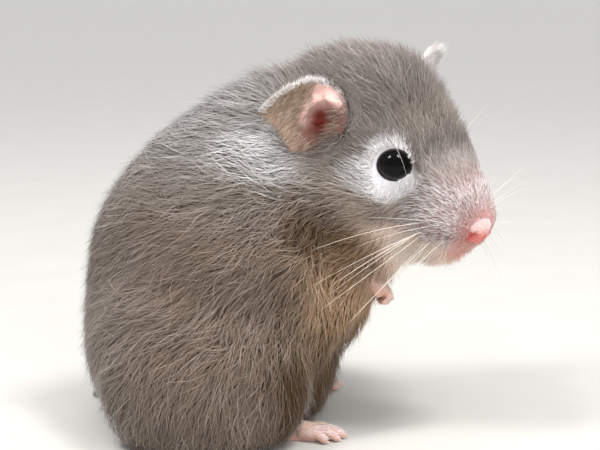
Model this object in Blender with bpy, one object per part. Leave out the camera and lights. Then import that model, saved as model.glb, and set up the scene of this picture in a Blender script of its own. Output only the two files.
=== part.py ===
"""A long-haired Syrian hamster, sitting on its haunches with its head turned to its right.

Every solid is the outline of the coat, out to the tips of the hair. The body is one blended form,
parted by thin cuts into head, neck, trunk, forelegs and hind legs. Ears, eyes, nose, paws, feet
and tail are modelled one by one. Metres, +Z up, +X the way the body faces, +Y its left side.
"""

import math

import bmesh
import bpy
import numpy as np
from mathutils import Matrix, Vector

MM = 0.001
SIDES = {"left": 1, "right": -1}
LEVEL = Vector((0, 0, 0))
UP = Vector((0, 0, 1))

# The gap that parted or touching pieces keep.
GAP = 0.35 * MM

# A cut leaves no edge shorter than this.
SHORTEST = 0.04 * MM

# Cut edges sharper than this are drawn as edges.
CREASE = math.radians(40)

# How finely the blended body is made, and how many triangles it keeps.
BODY_VOXEL = 1.0 * MM
BODY_SMOOTHING = 12
BODY_TRIANGLES = 2700

# The head's own frame: where its centre sits, and how far it turns, nods and tilts.
HEAD_CENTRE = Vector((19.5, -3.4, 48.7)) * MM
HEAD_TURN = math.radians(42)
HEAD_NOD = math.radians(19)
HEAD_TILT = math.radians(6)

# Each mass is centre, radii and lean about Y in degrees; a positive lean tips its top forward.
# Those of a pair are given for the left side, and mirrored.
TRUNK_MASSES = [
    ((-11.0, 0.0, 39.5), (19.2, 14.5, 31.5), 50),
    ((-17.0, 0.0, 15.0), (21.7, 27.0, 22.0), 0),
    ((-11.2, 0.0, 30.0), (20.5, 23.5, 25.0), 15),
    ((0.0, 0.0, 39.0), (15.0, 13.5, 19.0), 20),
    ((-0.5, 0.0, 12.0), (10.2, 17.0, 15.0), 0),
    ((5.0, -1.0, 22.0), (10.5, 12.0, 11.0), 0),
    ((8.7, -1.5, 31.0), (11.3, 12.0, 11.0), 0),
]
HAUNCH = ((-14.8, 18.5, 10.5), (19.5, 11.0, 16.0), 0)
HEAD_MASSES = [
    ((-3.2, 0.0, 1.2), (15.1, 16.0, 12.4), 0),
    ((-6.3, 0.0, 7.6), (11.4, 12.3, 11.3), 0),
    ((-13.2, 0.0, 4.5), (12.2, 12.4, 12.3), 0),
    ((9.2, 0.0, 0.1), (11.6, 8.7, 6.7), 20),
    ((11.2, 0.0, -5.2), (10.7, 7.4, 6.3), 0),
    ((10.4, 0.0, -10.8), (7.4, 5.3, 4.4), 0),
    ((0.7, 0.0, -10.0), (12.5, 10.5, 8.7), 0),
]
HEAD_PAIRS = [
    ((-2.5, 9.8, -5.0), (12.0, 9.2, 9.6), 0),
    ((14.3, 4.4, -4.9), (5.8, 4.8, 5.4), 0),
    ((6.8, 5.2, 2.9), (6.4, 4.3, 4.0), 0),
]

# The thighs are parted from the trunk this far out from the middle.
HAUNCH_DEPTH = 13.0 * MM
PLUG_LENGTH = 40.0 * MM

# Eyes and nose pad, in the head's frame: forward, out to the side, up.
EYE_PLACE = Vector((6.3, 8.6, 3.3)) * MM
EYE_RADIUS = 3.35 * MM
LID_RADIUS = 3.7 * MM
LID_DEPTH = 1.5 * MM
NOSE_PLACE = Vector((19.8, 0.0, -5.9)) * MM
NOSE_RADII = Vector((1.9, 2.3, 1.7)) * MM

# Ears: where the canal is in the head's frame, then the way each petal points and opens.
EAR_ROOT = Vector((-8.6, 13.4, 6.7)) * MM
EAR_LENGTH = 13.0 * MM
EAR_HALF_WIDTH = 6.3 * MM
EAR_DEPTH = 3.4 * MM
EAR_THICKNESS = 0.9 * MM
EAR_POINTS = {"right": Vector((-0.22, -0.96, 0.17)), "left": Vector((-0.22, 0.84, 0.49))}
EAR_OPENS = {"right": Vector((0.91, -0.27, 0.26)), "left": Vector((0.95, 0.25, 0.10))}

# The forelegs: shoulder, elbow and wrist of the left one, and how thick the hair makes them.
SHOULDER = Vector((0.0, 13.0, 32.0)) * MM
ELBOW = Vector((3.5, 13.0, 17.5)) * MM
WRIST = Vector((12.4, 9.5, 27.0)) * MM
SHOULDER_RADIUS = 7.0 * MM
ELBOW_RADIUS = 5.6 * MM
WRIST_RADIUS = 3.0 * MM

# The forepaws hang from the wrists, fingers forward and curled down.
PAW_LENGTH = 2.6 * MM
PAW_HALF_WIDTH = 2.1 * MM
FINGER_LENGTH = 3.0 * MM
FINGER_RADIUS = 0.62 * MM

# The hind feet: flat soles under the haunches, toes forward.
HEEL = Vector((-4.0, 13.5, 0.0)) * MM
SOLE_LENGTH = 11.5 * MM
SOLE_HALF_WIDTH = 2.5 * MM
FOOT_HEIGHT = 3.6 * MM
TOE_LENGTH = 4.2 * MM
TOE_RADIUS = 0.85 * MM
FOOT_SPLAY = math.radians(8)

# The planes across the neck, square to a line from the trunk to the head.
NECK_WAY = Vector((0.80, -0.22, 0.56)).normalized()
HEAD_PLANE = Vector((8.0, -1.0, 48.0)) * MM
NECK_WIDTH = 7.0 * MM

# The stub of a tail.
TAIL_ROOT = Vector((-30.0, 0.0, 5.0)) * MM
TAIL_TIP = Vector((-37.2, 1.0, 3.4)) * MM
TAIL_RADIUS = 1.9 * MM


def head_frame():
    """The matrix from the head's frame (forward, left, up) to the world."""
    turn = Matrix.Rotation(-HEAD_TURN, 4, "Z")
    nod = Matrix.Rotation(HEAD_NOD, 4, "Y")
    tilt = Matrix.Rotation(HEAD_TILT, 4, "X")
    return Matrix.Translation(HEAD_CENTRE) @ turn @ nod @ tilt


def mirrored(point, side):
    return Vector((point[0], side * point[1], point[2]))


def material(name, colour, roughness, metallic=0.0):
    found = bpy.data.materials.get(name) or bpy.data.materials.new(name)
    found.use_nodes = True
    shader = found.node_tree.nodes["Principled BSDF"]
    shader.inputs["Base Color"].default_value = (*colour, 1)
    shader.inputs["Roughness"].default_value = roughness
    shader.inputs["Metallic"].default_value = metallic
    return found


def coat():
    return material("coat", (0.27, 0.235, 0.205), 0.85)


def bare_skin():
    return material("bare_skin", (0.72, 0.45, 0.40), 0.55)


def eye_black():
    return material("eye_black", (0.008, 0.008, 0.009), 0.06)


def new_object(name, shape, finish):
    """A mesh object made from a bmesh, which it frees."""
    mesh = bpy.data.meshes.new(name)
    shape.to_mesh(mesh)
    shape.free()
    mesh.materials.append(finish)
    made = bpy.data.objects.new(name, mesh)
    bpy.context.scene.collection.objects.link(made)
    return made


def bake(obj):
    """Replaces the object's mesh by what its modifiers make of it."""
    graph = bpy.context.evaluated_depsgraph_get()
    graph.update()
    mesh = bpy.data.meshes.new_from_object(obj.evaluated_get(graph))
    obj.modifiers.clear()
    obj.data = mesh
    return obj


def copy_of(obj, name):
    made = bpy.data.objects.new(name, obj.data.copy())
    bpy.context.scene.collection.objects.link(made)
    return made


def tidied(obj):
    """Merges the points and drops the needle faces that a cut leaves, and fills what opens."""
    shape = bmesh.new()
    shape.from_mesh(obj.data)
    bmesh.ops.remove_doubles(shape, verts=shape.verts, dist=SHORTEST)
    bmesh.ops.dissolve_degenerate(shape, edges=shape.edges, dist=SHORTEST)
    bmesh.ops.holes_fill(shape, edges=shape.edges)
    bmesh.ops.triangulate(shape, faces=shape.faces)
    shape.to_mesh(obj.data)
    shape.free()
    return obj


def boolean(obj, other, operation):
    """Cuts or keeps with an exact Boolean, bakes the result and drops the other object."""
    step = obj.modifiers.new(operation.lower(), "BOOLEAN")
    step.operation = operation
    step.solver = "EXACT"
    step.object = other
    bake(obj)
    bpy.data.objects.remove(other)
    return tidied(obj)


def largest_body(obj):
    """Drops the slivers that a cut leaves beside the piece itself."""
    shape = bmesh.new()
    shape.from_mesh(obj.data)
    seen = set()
    bodies = []
    for vert in shape.verts:
        if vert in seen:
            continue
        seen.add(vert)
        body = [vert]
        for reached in body:
            for edge in reached.link_edges:
                other = edge.other_vert(reached)
                if other not in seen:
                    seen.add(other)
                    body.append(other)
        bodies.append(body)
    bodies.sort(key=len)
    for body in bodies[:-1]:
        bmesh.ops.delete(shape, geom=body, context="VERTS")
    shape.to_mesh(obj.data)
    shape.free()
    return obj


def grown(obj, by):
    """Moves the object's surface outwards."""
    step = obj.modifiers.new("grow", "DISPLACE")
    step.strength = by
    step.mid_level = 0.0
    return bake(obj)


def grown_copy(obj):
    """A copy that is larger by the gap, for cutting its neighbours back from it."""
    return grown(copy_of(obj, obj.name + "_grown"), GAP)


def half_space(point, normal):
    """A large block on the side of a plane that its normal points to."""
    side = 300 * MM
    turn = normal.to_track_quat("Z", "Y").to_matrix().to_4x4()
    centre = Matrix.Translation(point + normal * side / 2)
    shape = bmesh.new()
    bmesh.ops.create_cube(shape, size=side, matrix=centre @ turn)
    return new_object("half_space", shape, coat())


def add_ellipsoid(shape, centre, radii, lean=0.0, frame=None, detail=4):
    """Centre and radii are in metres, in the given frame."""
    tilt = Matrix.Rotation(math.radians(lean), 4, "Y")
    size = Matrix.Diagonal((*radii, 1))
    matrix = (frame or Matrix()) @ Matrix.Translation(centre) @ tilt @ size
    bmesh.ops.create_icosphere(shape, subdivisions=detail, radius=1.0, matrix=matrix)


def add_mass(shape, mass, side=1, frame=None):
    centre, radii, lean = mass
    add_ellipsoid(shape, mirrored(centre, side) * MM, Vector(radii) * MM, lean, frame)


def add_limb(shape, points, radii, sides=16):
    """Ball-ended tapering lengths, from joint to joint."""
    for start, end, start_radius, end_radius in zip(points, points[1:], radii, radii[1:]):
        along = end - start
        turn = along.to_track_quat("Z", "Y").to_matrix().to_4x4()
        middle = Matrix.Translation((start + end) / 2)
        bmesh.ops.create_cone(
            shape,
            cap_ends=True,
            segments=sides,
            radius1=start_radius,
            radius2=end_radius,
            depth=along.length,
            matrix=middle @ turn,
        )
    for point, radius in zip(points, radii):
        add_ellipsoid(shape, point, (radius, radius, radius), detail=3)


def blended(name, shape, finish, voxel, smoothing, triangles):
    """One smooth closed form from the overlapping masses in a bmesh."""
    made = new_object(name, shape, finish)
    melt = made.modifiers.new("melt", "REMESH")
    melt.mode = "VOXEL"
    melt.voxel_size = voxel
    soften = made.modifiers.new("soften", "SMOOTH")
    soften.factor = 0.6
    soften.iterations = smoothing
    bake(made)
    made.data.materials.clear()
    made.data.materials.append(finish)
    thin = made.modifiers.new("thin", "DECIMATE")
    thin.ratio = min(1.0, triangles / (2 * len(made.data.polygons)))
    thin.use_collapse_triangulate = True
    return bake(made)


def foreleg_joints(side):
    return [mirrored(joint, side) for joint in (SHOULDER, ELBOW, WRIST)]


def foreleg_radii():
    return [SHOULDER_RADIUS, ELBOW_RADIUS, WRIST_RADIUS]


def make_body(head):
    """The whole coat-covered animal as one form, flat where it sits."""
    shape = bmesh.new()
    for mass in TRUNK_MASSES:
        add_mass(shape, mass)
    for mass in HEAD_MASSES:
        add_mass(shape, mass, frame=head)
    for side in SIDES.values():
        add_mass(shape, HAUNCH, side)
        for mass in HEAD_PAIRS:
            add_mass(shape, mass, side, head)
        add_limb(shape, foreleg_joints(side), foreleg_radii())
    body = blended("body", shape, coat(), BODY_VOXEL, BODY_SMOOTHING, BODY_TRIANGLES)
    return boolean(body, half_space(LEVEL, UP), "INTERSECT")


def make_eye(name, side, head):
    """The whole ball, which sits in a socket."""
    shape = bmesh.new()
    place = Matrix.Translation(head @ mirrored(EYE_PLACE, side))
    bmesh.ops.create_uvsphere(shape, u_segments=14, v_segments=9, radius=EYE_RADIUS, matrix=place)
    return new_object(name, shape, eye_black())


def lid_opening(side, head):
    """A ball set further out than the eye, which opens the coat in a rim round it."""
    shape = bmesh.new()
    out = mirrored(EYE_PLACE, side).normalized() * LID_DEPTH
    place = Matrix.Translation(head @ (mirrored(EYE_PLACE, side) + out))
    bmesh.ops.create_uvsphere(shape, u_segments=14, v_segments=8, radius=LID_RADIUS, matrix=place)
    return new_object("lid_opening", shape, coat())


def make_nose(head):
    shape = bmesh.new()
    add_ellipsoid(shape, NOSE_PLACE, NOSE_RADII, 10, head, detail=2)
    return new_object("nose", shape, bare_skin())


def ear_outline(s):
    """How far the petal reaches above and below its mid-line, s of the way to its tip."""
    upper = EAR_HALF_WIDTH * max(1 - s * s, 0) ** 0.85
    lower = EAR_HALF_WIDTH * min(1, max(1 - s, 0) / 0.55)
    return upper, lower


def make_ear(name, side, head, body):
    """A cupped petal: its upper edge curved, its lower edge straight, its hollow facing forward."""
    word = "left" if side > 0 else "right"
    out = EAR_POINTS[word].normalized()
    opens = EAR_OPENS[word]
    opens = (opens - out * opens.dot(out)).normalized()
    across = (opens.cross(out) * side).normalized()
    root = mirrored(EAR_ROOT, side)
    rows, columns = 9, 10
    shape = bmesh.new()
    grid = []
    for s in np.linspace(-0.25, 0.985, rows):
        upper, lower = ear_outline(max(s, 0))
        middle = EAR_HALF_WIDTH * (0.08 + 0.19 * s)
        line = []
        for w in np.linspace(-1, 1, columns):
            reach = middle + (upper if w > 0 else lower) * w
            hollow = EAR_DEPTH * max(1 - s, 0) * (w * w - 0.4)
            point = root + out * s * EAR_LENGTH + across * reach + opens * hollow
            line.append(shape.verts.new(head @ point))
        grid.append(line)
    for low, high in zip(grid, grid[1:]):
        for j in range(columns - 1):
            shape.faces.new((low[j], low[j + 1], high[j + 1], high[j]))
    bmesh.ops.recalc_face_normals(shape, faces=shape.faces)
    ear = new_object(name, shape, bare_skin())
    thick = ear.modifiers.new("thickness", "SOLIDIFY")
    thick.thickness = EAR_THICKNESS
    thick.offset = 0.0
    bake(ear)
    return largest_body(boolean(ear, grown_copy(body), "DIFFERENCE"))


def add_digit(shape, root, way, droop, length, radius):
    """A finger or toe of two lengths that bends down, with a claw at its end."""
    bend = (way - UP * droop).normalized()
    knuckle = root + way * length * 0.5
    tip = knuckle + bend * length * 0.5
    add_limb(shape, [root, knuckle, tip], [radius, radius, radius * 0.85], sides=8)
    claw = tip + (bend - UP * 0.3).normalized() * radius * 2.2
    add_limb(shape, [tip, claw], [radius * 0.6, radius * 0.4], sides=8)


def make_paw(name, side, body):
    """A small hand with four fingers, hanging from the wrist with its back up and forward."""
    wrist = mirrored(WRIST, side)
    way = Vector((0.86, -0.20 * side, -0.47)).normalized()
    across = way.cross(UP).normalized()
    palm = wrist + way * PAW_LENGTH
    shape = bmesh.new()
    frame = Matrix((way, across, across.cross(way))).transposed().to_4x4()
    size = (PAW_LENGTH * 1.25, PAW_HALF_WIDTH, PAW_HALF_WIDTH * 0.72)
    add_ellipsoid(shape, LEVEL, size, frame=Matrix.Translation(palm) @ frame, detail=3)
    for spread in np.linspace(-1, 1, 4):
        root = palm + way * PAW_LENGTH * 0.7 + across * spread * PAW_HALF_WIDTH * 0.78
        finger = (way + across * spread * 0.28).normalized()
        length = FINGER_LENGTH * (1 - 0.12 * spread * spread)
        add_digit(shape, root, finger, 0.9, length, FINGER_RADIUS)
    paw = blended(name, shape, bare_skin(), 0.3 * MM, 3, 300)
    return largest_body(boolean(paw, grown_copy(body), "DIFFERENCE"))


def make_foot(name, side):
    """A long flat sole with five toes, flat at the floor's level."""
    turn = Matrix.Rotation(side * FOOT_SPLAY, 3, "Z")
    way = turn @ Vector((1, 0, 0))
    across = turn @ Vector((0, 1, 0))
    heel = mirrored(HEEL, side)
    sole = heel + way * SOLE_LENGTH / 2
    frame = Matrix.Translation(sole) @ turn.to_4x4()
    shape = bmesh.new()
    size = (SOLE_LENGTH * 0.58, SOLE_HALF_WIDTH, FOOT_HEIGHT)
    add_ellipsoid(shape, LEVEL, size, 4, frame, detail=3)
    for spread in np.linspace(-1, 1, 5):
        back = SOLE_LENGTH * (0.93 - 0.16 * abs(spread) ** 1.5)
        root = heel + way * back + across * spread * SOLE_HALF_WIDTH * 0.95
        root.z = TOE_RADIUS * 1.1
        toe = (way + across * spread * 0.34).normalized()
        length = TOE_LENGTH * (1 - 0.22 * abs(spread) ** 2)
        add_digit(shape, root, toe, 0.12, length, TOE_RADIUS)
    foot = blended(name, shape, bare_skin(), 0.4 * MM, 3, 340)
    return boolean(foot, half_space(LEVEL, UP), "INTERSECT")


def make_tail(body):
    shape = bmesh.new()
    middle = TAIL_ROOT.lerp(TAIL_TIP, 0.6)
    radii = [TAIL_RADIUS, TAIL_RADIUS * 0.8, TAIL_RADIUS * 0.45]
    add_limb(shape, [TAIL_ROOT, middle, TAIL_TIP], radii)
    tail = blended("tail", shape, coat(), 0.4 * MM, 3, 160)
    return largest_body(boolean(tail, grown_copy(body), "DIFFERENCE"))


def take(body, name, region, grown_region):
    """Parts the piece inside a region from the body, and leaves a gap round it."""
    piece = copy_of(body, name)
    boolean(piece, region, "INTERSECT")
    boolean(body, grown_region, "DIFFERENCE")
    return largest_body(piece)


def haunch_region(side, gap):
    """An upright oval plug, pushed into the side of the body as deep as the thigh."""
    centre, radii, _ = HAUNCH
    inner = HAUNCH_DEPTH - gap
    shape = bmesh.new()
    size = Matrix.Diagonal((radii[0] * MM * 0.97 + gap, radii[2] * MM * 0.97 + gap, 1, 1))
    stand = Matrix.Rotation(math.pi / 2, 4, "X")
    place = Vector((centre[0] * MM, side * (inner + PLUG_LENGTH / 2), centre[2] * MM))
    bmesh.ops.create_cone(
        shape,
        cap_ends=True,
        segments=40,
        radius1=1,
        radius2=1,
        depth=PLUG_LENGTH,
        matrix=Matrix.Translation(place) @ stand @ size,
    )
    return new_object("haunch_region", shape, coat())


def foreleg_region(side, gap):
    """The limb's own form, drawn out sideways so that it cuts the flank squarely."""
    shape = bmesh.new()
    radii = [radius * 1.05 for radius in foreleg_radii()]
    add_limb(shape, foreleg_joints(side), radii)
    region = blended("foreleg_region", shape, coat(), 0.8 * MM, 4, 200)
    middle = side * SHOULDER.y
    widen = Matrix.Translation((0, middle, 0)) @ Matrix.Diagonal((1, 1.5, 1, 1))
    region.data.transform(widen @ Matrix.Translation((0, -middle, 0)))
    return grown(region, gap) if gap else region


def part_body(body):
    """Head, neck and limbs come off the body; what is left is the trunk."""
    back = HEAD_PLANE - NECK_WAY * NECK_WIDTH
    for name, start in (("head", HEAD_PLANE), ("neck", back)):
        grown_start = start - NECK_WAY * GAP
        take(body, name, half_space(start, NECK_WAY), half_space(grown_start, NECK_WAY))
    for word, side in SIDES.items():
        take(body, f"hind_leg_{word}", haunch_region(side, 0), haunch_region(side, GAP))
        take(body, f"foreleg_{word}", foreleg_region(side, 0), foreleg_region(side, GAP))
    body.name = "trunk"
    return largest_body(body)


def centre_on_base():
    """Puts the origin at the middle of the whole animal's base."""
    pieces = [obj for obj in bpy.data.objects if obj.type == "MESH"]
    corners = np.array([obj.matrix_world @ vert.co for obj in pieces for vert in obj.data.vertices])
    middle = (corners.min(axis=0) + corners.max(axis=0)) / 2
    for obj in pieces:
        obj.location = (-middle[0], -middle[1], 0)


def main():
    for obj in list(bpy.data.objects):
        bpy.data.objects.remove(obj)
    head = head_frame()
    body = make_body(head)
    nose = make_nose(head)
    boolean(body, grown_copy(nose), "DIFFERENCE")
    make_tail(body)
    for word, side in SIDES.items():
        make_ear(f"ear_{word}", side, head, body)
        make_paw(f"forepaw_{word}", side, body)
        foot = make_foot(f"hind_foot_{word}", side)
        eye = make_eye(f"eye_{word}", side, head)
        for hollow in (grown_copy(foot), grown_copy(eye), lid_opening(side, head)):
            boolean(body, hollow, "DIFFERENCE")
    part_body(body)
    for obj in bpy.data.objects:
        obj.data.shade_smooth()
        obj.data.set_sharp_from_angle(angle=CREASE)
    centre_on_base()


main()
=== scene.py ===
"""A long-haired Syrian hamster sitting with its head turned: its skin, eyes, paws and coat."""

import math

import bmesh
import bpy
import numpy as np
from mathutils import Matrix, Vector
from mathutils.bvhtree import BVHTree
from mathutils.kdtree import KDTree


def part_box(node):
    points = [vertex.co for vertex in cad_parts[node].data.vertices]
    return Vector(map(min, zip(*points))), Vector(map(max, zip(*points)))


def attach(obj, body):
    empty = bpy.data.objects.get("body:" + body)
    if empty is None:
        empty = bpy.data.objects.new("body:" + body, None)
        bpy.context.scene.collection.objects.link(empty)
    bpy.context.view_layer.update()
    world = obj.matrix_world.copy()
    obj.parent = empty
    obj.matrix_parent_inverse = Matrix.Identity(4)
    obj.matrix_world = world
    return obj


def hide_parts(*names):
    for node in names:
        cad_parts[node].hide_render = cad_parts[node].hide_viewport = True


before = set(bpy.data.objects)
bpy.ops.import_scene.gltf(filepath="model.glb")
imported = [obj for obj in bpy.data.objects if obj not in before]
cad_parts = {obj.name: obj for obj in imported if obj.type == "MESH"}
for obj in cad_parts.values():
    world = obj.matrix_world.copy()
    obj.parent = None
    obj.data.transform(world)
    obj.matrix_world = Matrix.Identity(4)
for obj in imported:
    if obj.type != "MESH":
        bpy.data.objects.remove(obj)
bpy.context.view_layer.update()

# --------------------------------------
# The skin. One living hide from nose to tail, a few millimetres inside the tips of the hair: deep
# under the long coat of the back and flanks, and almost at the surface on muzzle and lips.
# Lengths are in millimetres here, until a mesh is made.
# --------------------------------------

MM = 0.001
BODY_NODES = ["head", "neck", "trunk", "tail", "foreleg_left", "foreleg_right"]
BODY_NODES += ["hind_leg_left", "hind_leg_right"]
FACE_NODES = ["eye_left", "eye_right", "nose"]
SEAM_FILL = 0.25
OUTLINE_VOXEL = 0.65
SKIN_VOXEL = 0.6

# Where the coat is fuller than the solids: the ruff behind the crown, the rump, the brows, and
# the heap of fur behind the root of the left ear, on the stretched side of the neck.
NAPE_AT = np.array([-2.0, 0.0, 65.0])
NAPE_RADII = np.array([13.0, 15.0, 10.0])
NAPE_RISE = 0.9
RUMP_AT = np.array([-36.0, -2.0, 22.0])
RUMP_RADIUS = 9.0
RUMP_RISE = 0.8
BROW_IN_HEAD = np.array([9.5, 6.2, 5.4])
BROW_RADIUS = 5.5
BROW_RISE = 0.3
HEAP_IN_HEAD = np.array([-12.8, 11.6, 5.6])
HEAP_RADIUS = 5.2

# Where eyes and nose pad lie in the head's own frame: forward, left, up.
EYE_IN_HEAD = np.array([6.3, 8.6, 3.3])
NOSE_IN_HEAD = np.array([19.8, 0.0, -5.9])


def unit(vectors):
    vectors = np.asarray(vectors, float)
    return vectors / np.maximum(np.linalg.norm(vectors, axis=-1, keepdims=True), 1e-9)


def dot(a, b):
    return (np.asarray(a) * np.asarray(b)).sum(-1)


def ramp(low, high, x):
    """0 below low, 1 above high and smooth between."""
    t = np.clip((np.asarray(x, float) - low) / (high - low), 0, 1)
    return t * t * (3 - 2 * t)


def blend(a, b, share):
    share = np.asarray(share, float)
    return a + (b - a) * (share[..., None] if np.ndim(a) > share.ndim > 0 else share)


def span(vectors):
    return np.linalg.norm(vectors, axis=1)


def oval(points, at, radii):
    """Distance from a place as a share of an oval's radii: 1 on the oval."""
    gap = (points - np.asarray(at)) / np.asarray(radii)
    return np.sqrt(dot(gap, gap))


def node_middle(name):
    low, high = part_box(name)
    return np.array(low + high) / 2 / MM


def node_corners(name):
    return [np.array(corner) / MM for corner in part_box(name)]


def head_frame():
    """Origin and axes of the head's frame, from the two eye balls and the nose pad."""
    left_eye, right_eye = node_middle("eye_left"), node_middle("eye_right")
    left = unit(left_eye - right_eye)
    between = (left_eye + right_eye) / 2
    to_nose = node_middle("nose") - between
    to_nose = unit(to_nose - left * dot(to_nose, left))
    rise = math.atan2(NOSE_IN_HEAD[2] - EYE_IN_HEAD[2], NOSE_IN_HEAD[0] - EYE_IN_HEAD[0])
    square = np.cross(to_nose, left)
    forward = to_nose * math.cos(rise) - square * math.sin(rise)
    up = to_nose * math.sin(rise) + square * math.cos(rise)
    return between - forward * EYE_IN_HEAD[0] - up * EYE_IN_HEAD[2], np.stack([forward, left, up])


HEAD_AT, HEAD_AXES = head_frame()
SIDES = {"left": 1, "right": -1}


def in_head(points):
    return (np.asarray(points) - HEAD_AT) @ HEAD_AXES.T


def from_head(points):
    return HEAD_AT + np.asarray(points) @ HEAD_AXES


def head_way(vector):
    return np.asarray(vector, float) @ HEAD_AXES


def read_mesh(mesh):
    """Points and unit normals of a mesh in millimetres, and its faces."""
    points = np.zeros(len(mesh.vertices) * 3)
    mesh.vertices.foreach_get("co", points)
    normals = np.zeros(len(mesh.vertices) * 3)
    mesh.vertices.foreach_get("normal", normals)
    faces = [tuple(face.vertices) for face in mesh.polygons]
    return points.reshape(-1, 3) / MM, normals.reshape(-1, 3), faces


def mesh_from(shape, name):
    """Turns a finished bmesh into a mesh."""
    mesh = bpy.data.meshes.new(name)
    shape.to_mesh(mesh)
    shape.free()
    return mesh


def move_points(mesh, points):
    mesh.vertices.foreach_set("co", (points * MM).ravel())


def new_piece(name, data, finish=None):
    """Adds a mesh, lamp or camera to the scene; a mesh with a finish is shaded smooth."""
    if finish:
        data.shade_smooth()
        data.materials.append(finish)
    piece = bpy.data.objects.new(name, data)
    bpy.context.scene.collection.objects.link(piece)
    return piece


def baked(piece):
    """Replaces the piece's mesh by what its modifiers make of it."""
    graph = bpy.context.evaluated_depsgraph_get()
    graph.update()
    mesh = bpy.data.meshes.new_from_object(piece.evaluated_get(graph))
    piece.modifiers.clear()
    piece.data = mesh
    return piece


def melted(piece, voxel, smoothing):
    """One closed even mesh from overlapping forms."""
    melt = piece.modifiers.new("melt", "REMESH")
    melt.mode = "VOXEL"
    melt.voxel_size = voxel * MM
    soften = piece.modifiers.new("soften", "SMOOTH")
    soften.factor = 0.5
    soften.iterations = smoothing
    return baked(piece)


def coat_outline():
    """The CAD solids of body and face as one form without seams: where the hair tips end."""
    shape = bmesh.new()
    for name in BODY_NODES + FACE_NODES:
        part = bmesh.new()
        part.from_mesh(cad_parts[name].data)
        bmesh.ops.remove_doubles(part, verts=part.verts, dist=0.01 * MM)
        part.normal_update()
        for vert in part.verts:
            vert.co += vert.normal * SEAM_FILL * MM
        mesh = mesh_from(part, name + "_grown")
        shape.from_mesh(mesh)
        bpy.data.meshes.remove(mesh)
    heap = Matrix.Translation(Vector(from_head(HEAP_IN_HEAD) * MM))
    bmesh.ops.create_icosphere(shape, subdivisions=3, radius=HEAP_RADIUS * MM, matrix=heap)
    outline = new_piece("coat_outline", mesh_from(shape, "coat_outline"))
    outline = melted(outline, OUTLINE_VOXEL, smoothing=8)
    points, normals, _ = read_mesh(outline.data)
    fills = [(NAPE_AT, NAPE_RADII, NAPE_RISE), (RUMP_AT, RUMP_RADIUS, RUMP_RISE)]
    for side in SIDES.values():
        fills.append((from_head(BROW_IN_HEAD * [1, side, 1]), BROW_RADIUS, BROW_RISE))
    for at, radii, rise in fills:
        points += normals * (rise * ramp(1.0, 0.2, oval(points, at, radii)))[:, None]
    move_points(outline.data, points)
    outline.data.update()
    return outline


# The neck's plane parts head from body.
NECK_WAY = unit([0.80, -0.22, 0.56])
NECK_AT = np.array([8.7, -1.0, 48.0])

# The eye's centre from the middle of its solid, the way it looks, and what stands for the
# distance of whatever lies behind it.
EYE_SHIFT = np.array([-1.15, -0.7, -0.2])
EYE_WAY = unit([0.62, 0.75, 0.22])
FAR_OFF = 99.0


def eye_centre(side):
    return from_head((EYE_IN_HEAD + EYE_SHIFT) * [1, side, 1])


def eye_axis(side):
    return head_way(EYE_WAY * [1, side, 1])


def off_eye_axis(points, side):
    """Distance from the line that an eye looks along, on its own side of the head only."""
    to_point = points - eye_centre(side)
    axis = eye_axis(side)
    along = dot(to_point, axis)
    off = span(to_point - along[:, None] * axis)
    return np.where(along > -1.0, off, FAR_OFF)


def nearest_eye(points):
    return np.minimum(off_eye_axis(points, 1), off_eye_axis(points, -1))


def head_share(points):
    """1 on the head, 0 on the body."""
    return ramp(-6, 4, dot(points - NECK_AT, NECK_WAY))


def line_distance(points, start, end):
    start, end = np.asarray(start, float), np.asarray(end, float)
    along = np.clip(dot(points - start, end - start) / dot(end - start, end - start), 0, 1)
    return span(points - start - along[:, None] * (end - start))


def tail_distance(points):
    low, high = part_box("tail")
    tip = np.array([low[0], (low[1] + high[1]) / 2, (low[2] + high[2]) / 2]) / MM
    return line_distance(points, tip, tip + [7.0, -0.8, 1.6])


def wrist(side):
    low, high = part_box("forepaw_left" if side > 0 else "forepaw_right")
    return np.array([low[0], (low[1] + high[1]) / 2, high[2]]) / MM


def coat_depth(points):
    """How far the skin lies under the tips of the hair."""
    head = in_head(points)
    on_head = np.interp(head[:, 0], [-12, -4, 4, 10, 15, 19], [3.2, 2.6, 1.9, 1.1, 0.7, 0.45])
    on_head = blend(on_head, 2.4, ramp(-7, -11, head[:, 2]) * ramp(8, 2, head[:, 0]))
    on_body = 4.6 - 2.0 * ramp(8, 1, points[:, 2])
    depth = blend(on_body, on_head, head_share(points))
    for side in SIDES.values():
        depth = blend(depth, 1.0, ramp(9, 2, span(points - wrist(side))))
    depth = blend(depth, 0.6, ramp(4.5, 2.0, tail_distance(points)))
    return np.maximum(depth, eye_pit(points) + 0.4)


def eye_pit(points):
    """The coat's surface sinks to the lids round each eye."""
    return 2.3 * ramp(5.6, 3.2, nearest_eye(points))


outline = coat_outline()
TIPS, TIP_NORMALS, TIP_FACES = read_mesh(outline.data)
TIP_TREE = BVHTree.FromPolygons(TIPS.tolist(), TIP_FACES)
bpy.data.objects.remove(outline)


def make_skin():
    sunk = TIPS - TIP_NORMALS * coat_depth(TIPS)[:, None]
    mesh = bpy.data.meshes.new("skin")
    mesh.from_pydata((sunk * MM).tolist(), [], TIP_FACES)
    return melted(new_piece("skin", mesh), SKIN_VOXEL, smoothing=6)


skin = make_skin()
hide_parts(*BODY_NODES, "nose")
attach(skin, "root")

# --------------------------------------
# Ears. Thin petals of skin and cartilage that rise from the side of the skull behind the eyes. The
# inner face is finely haired and brown, painted pale on the left ear as painted light, and folds
# into a pink cup round the canal. They are grown on to the skin, with no seam.
# --------------------------------------

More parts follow.
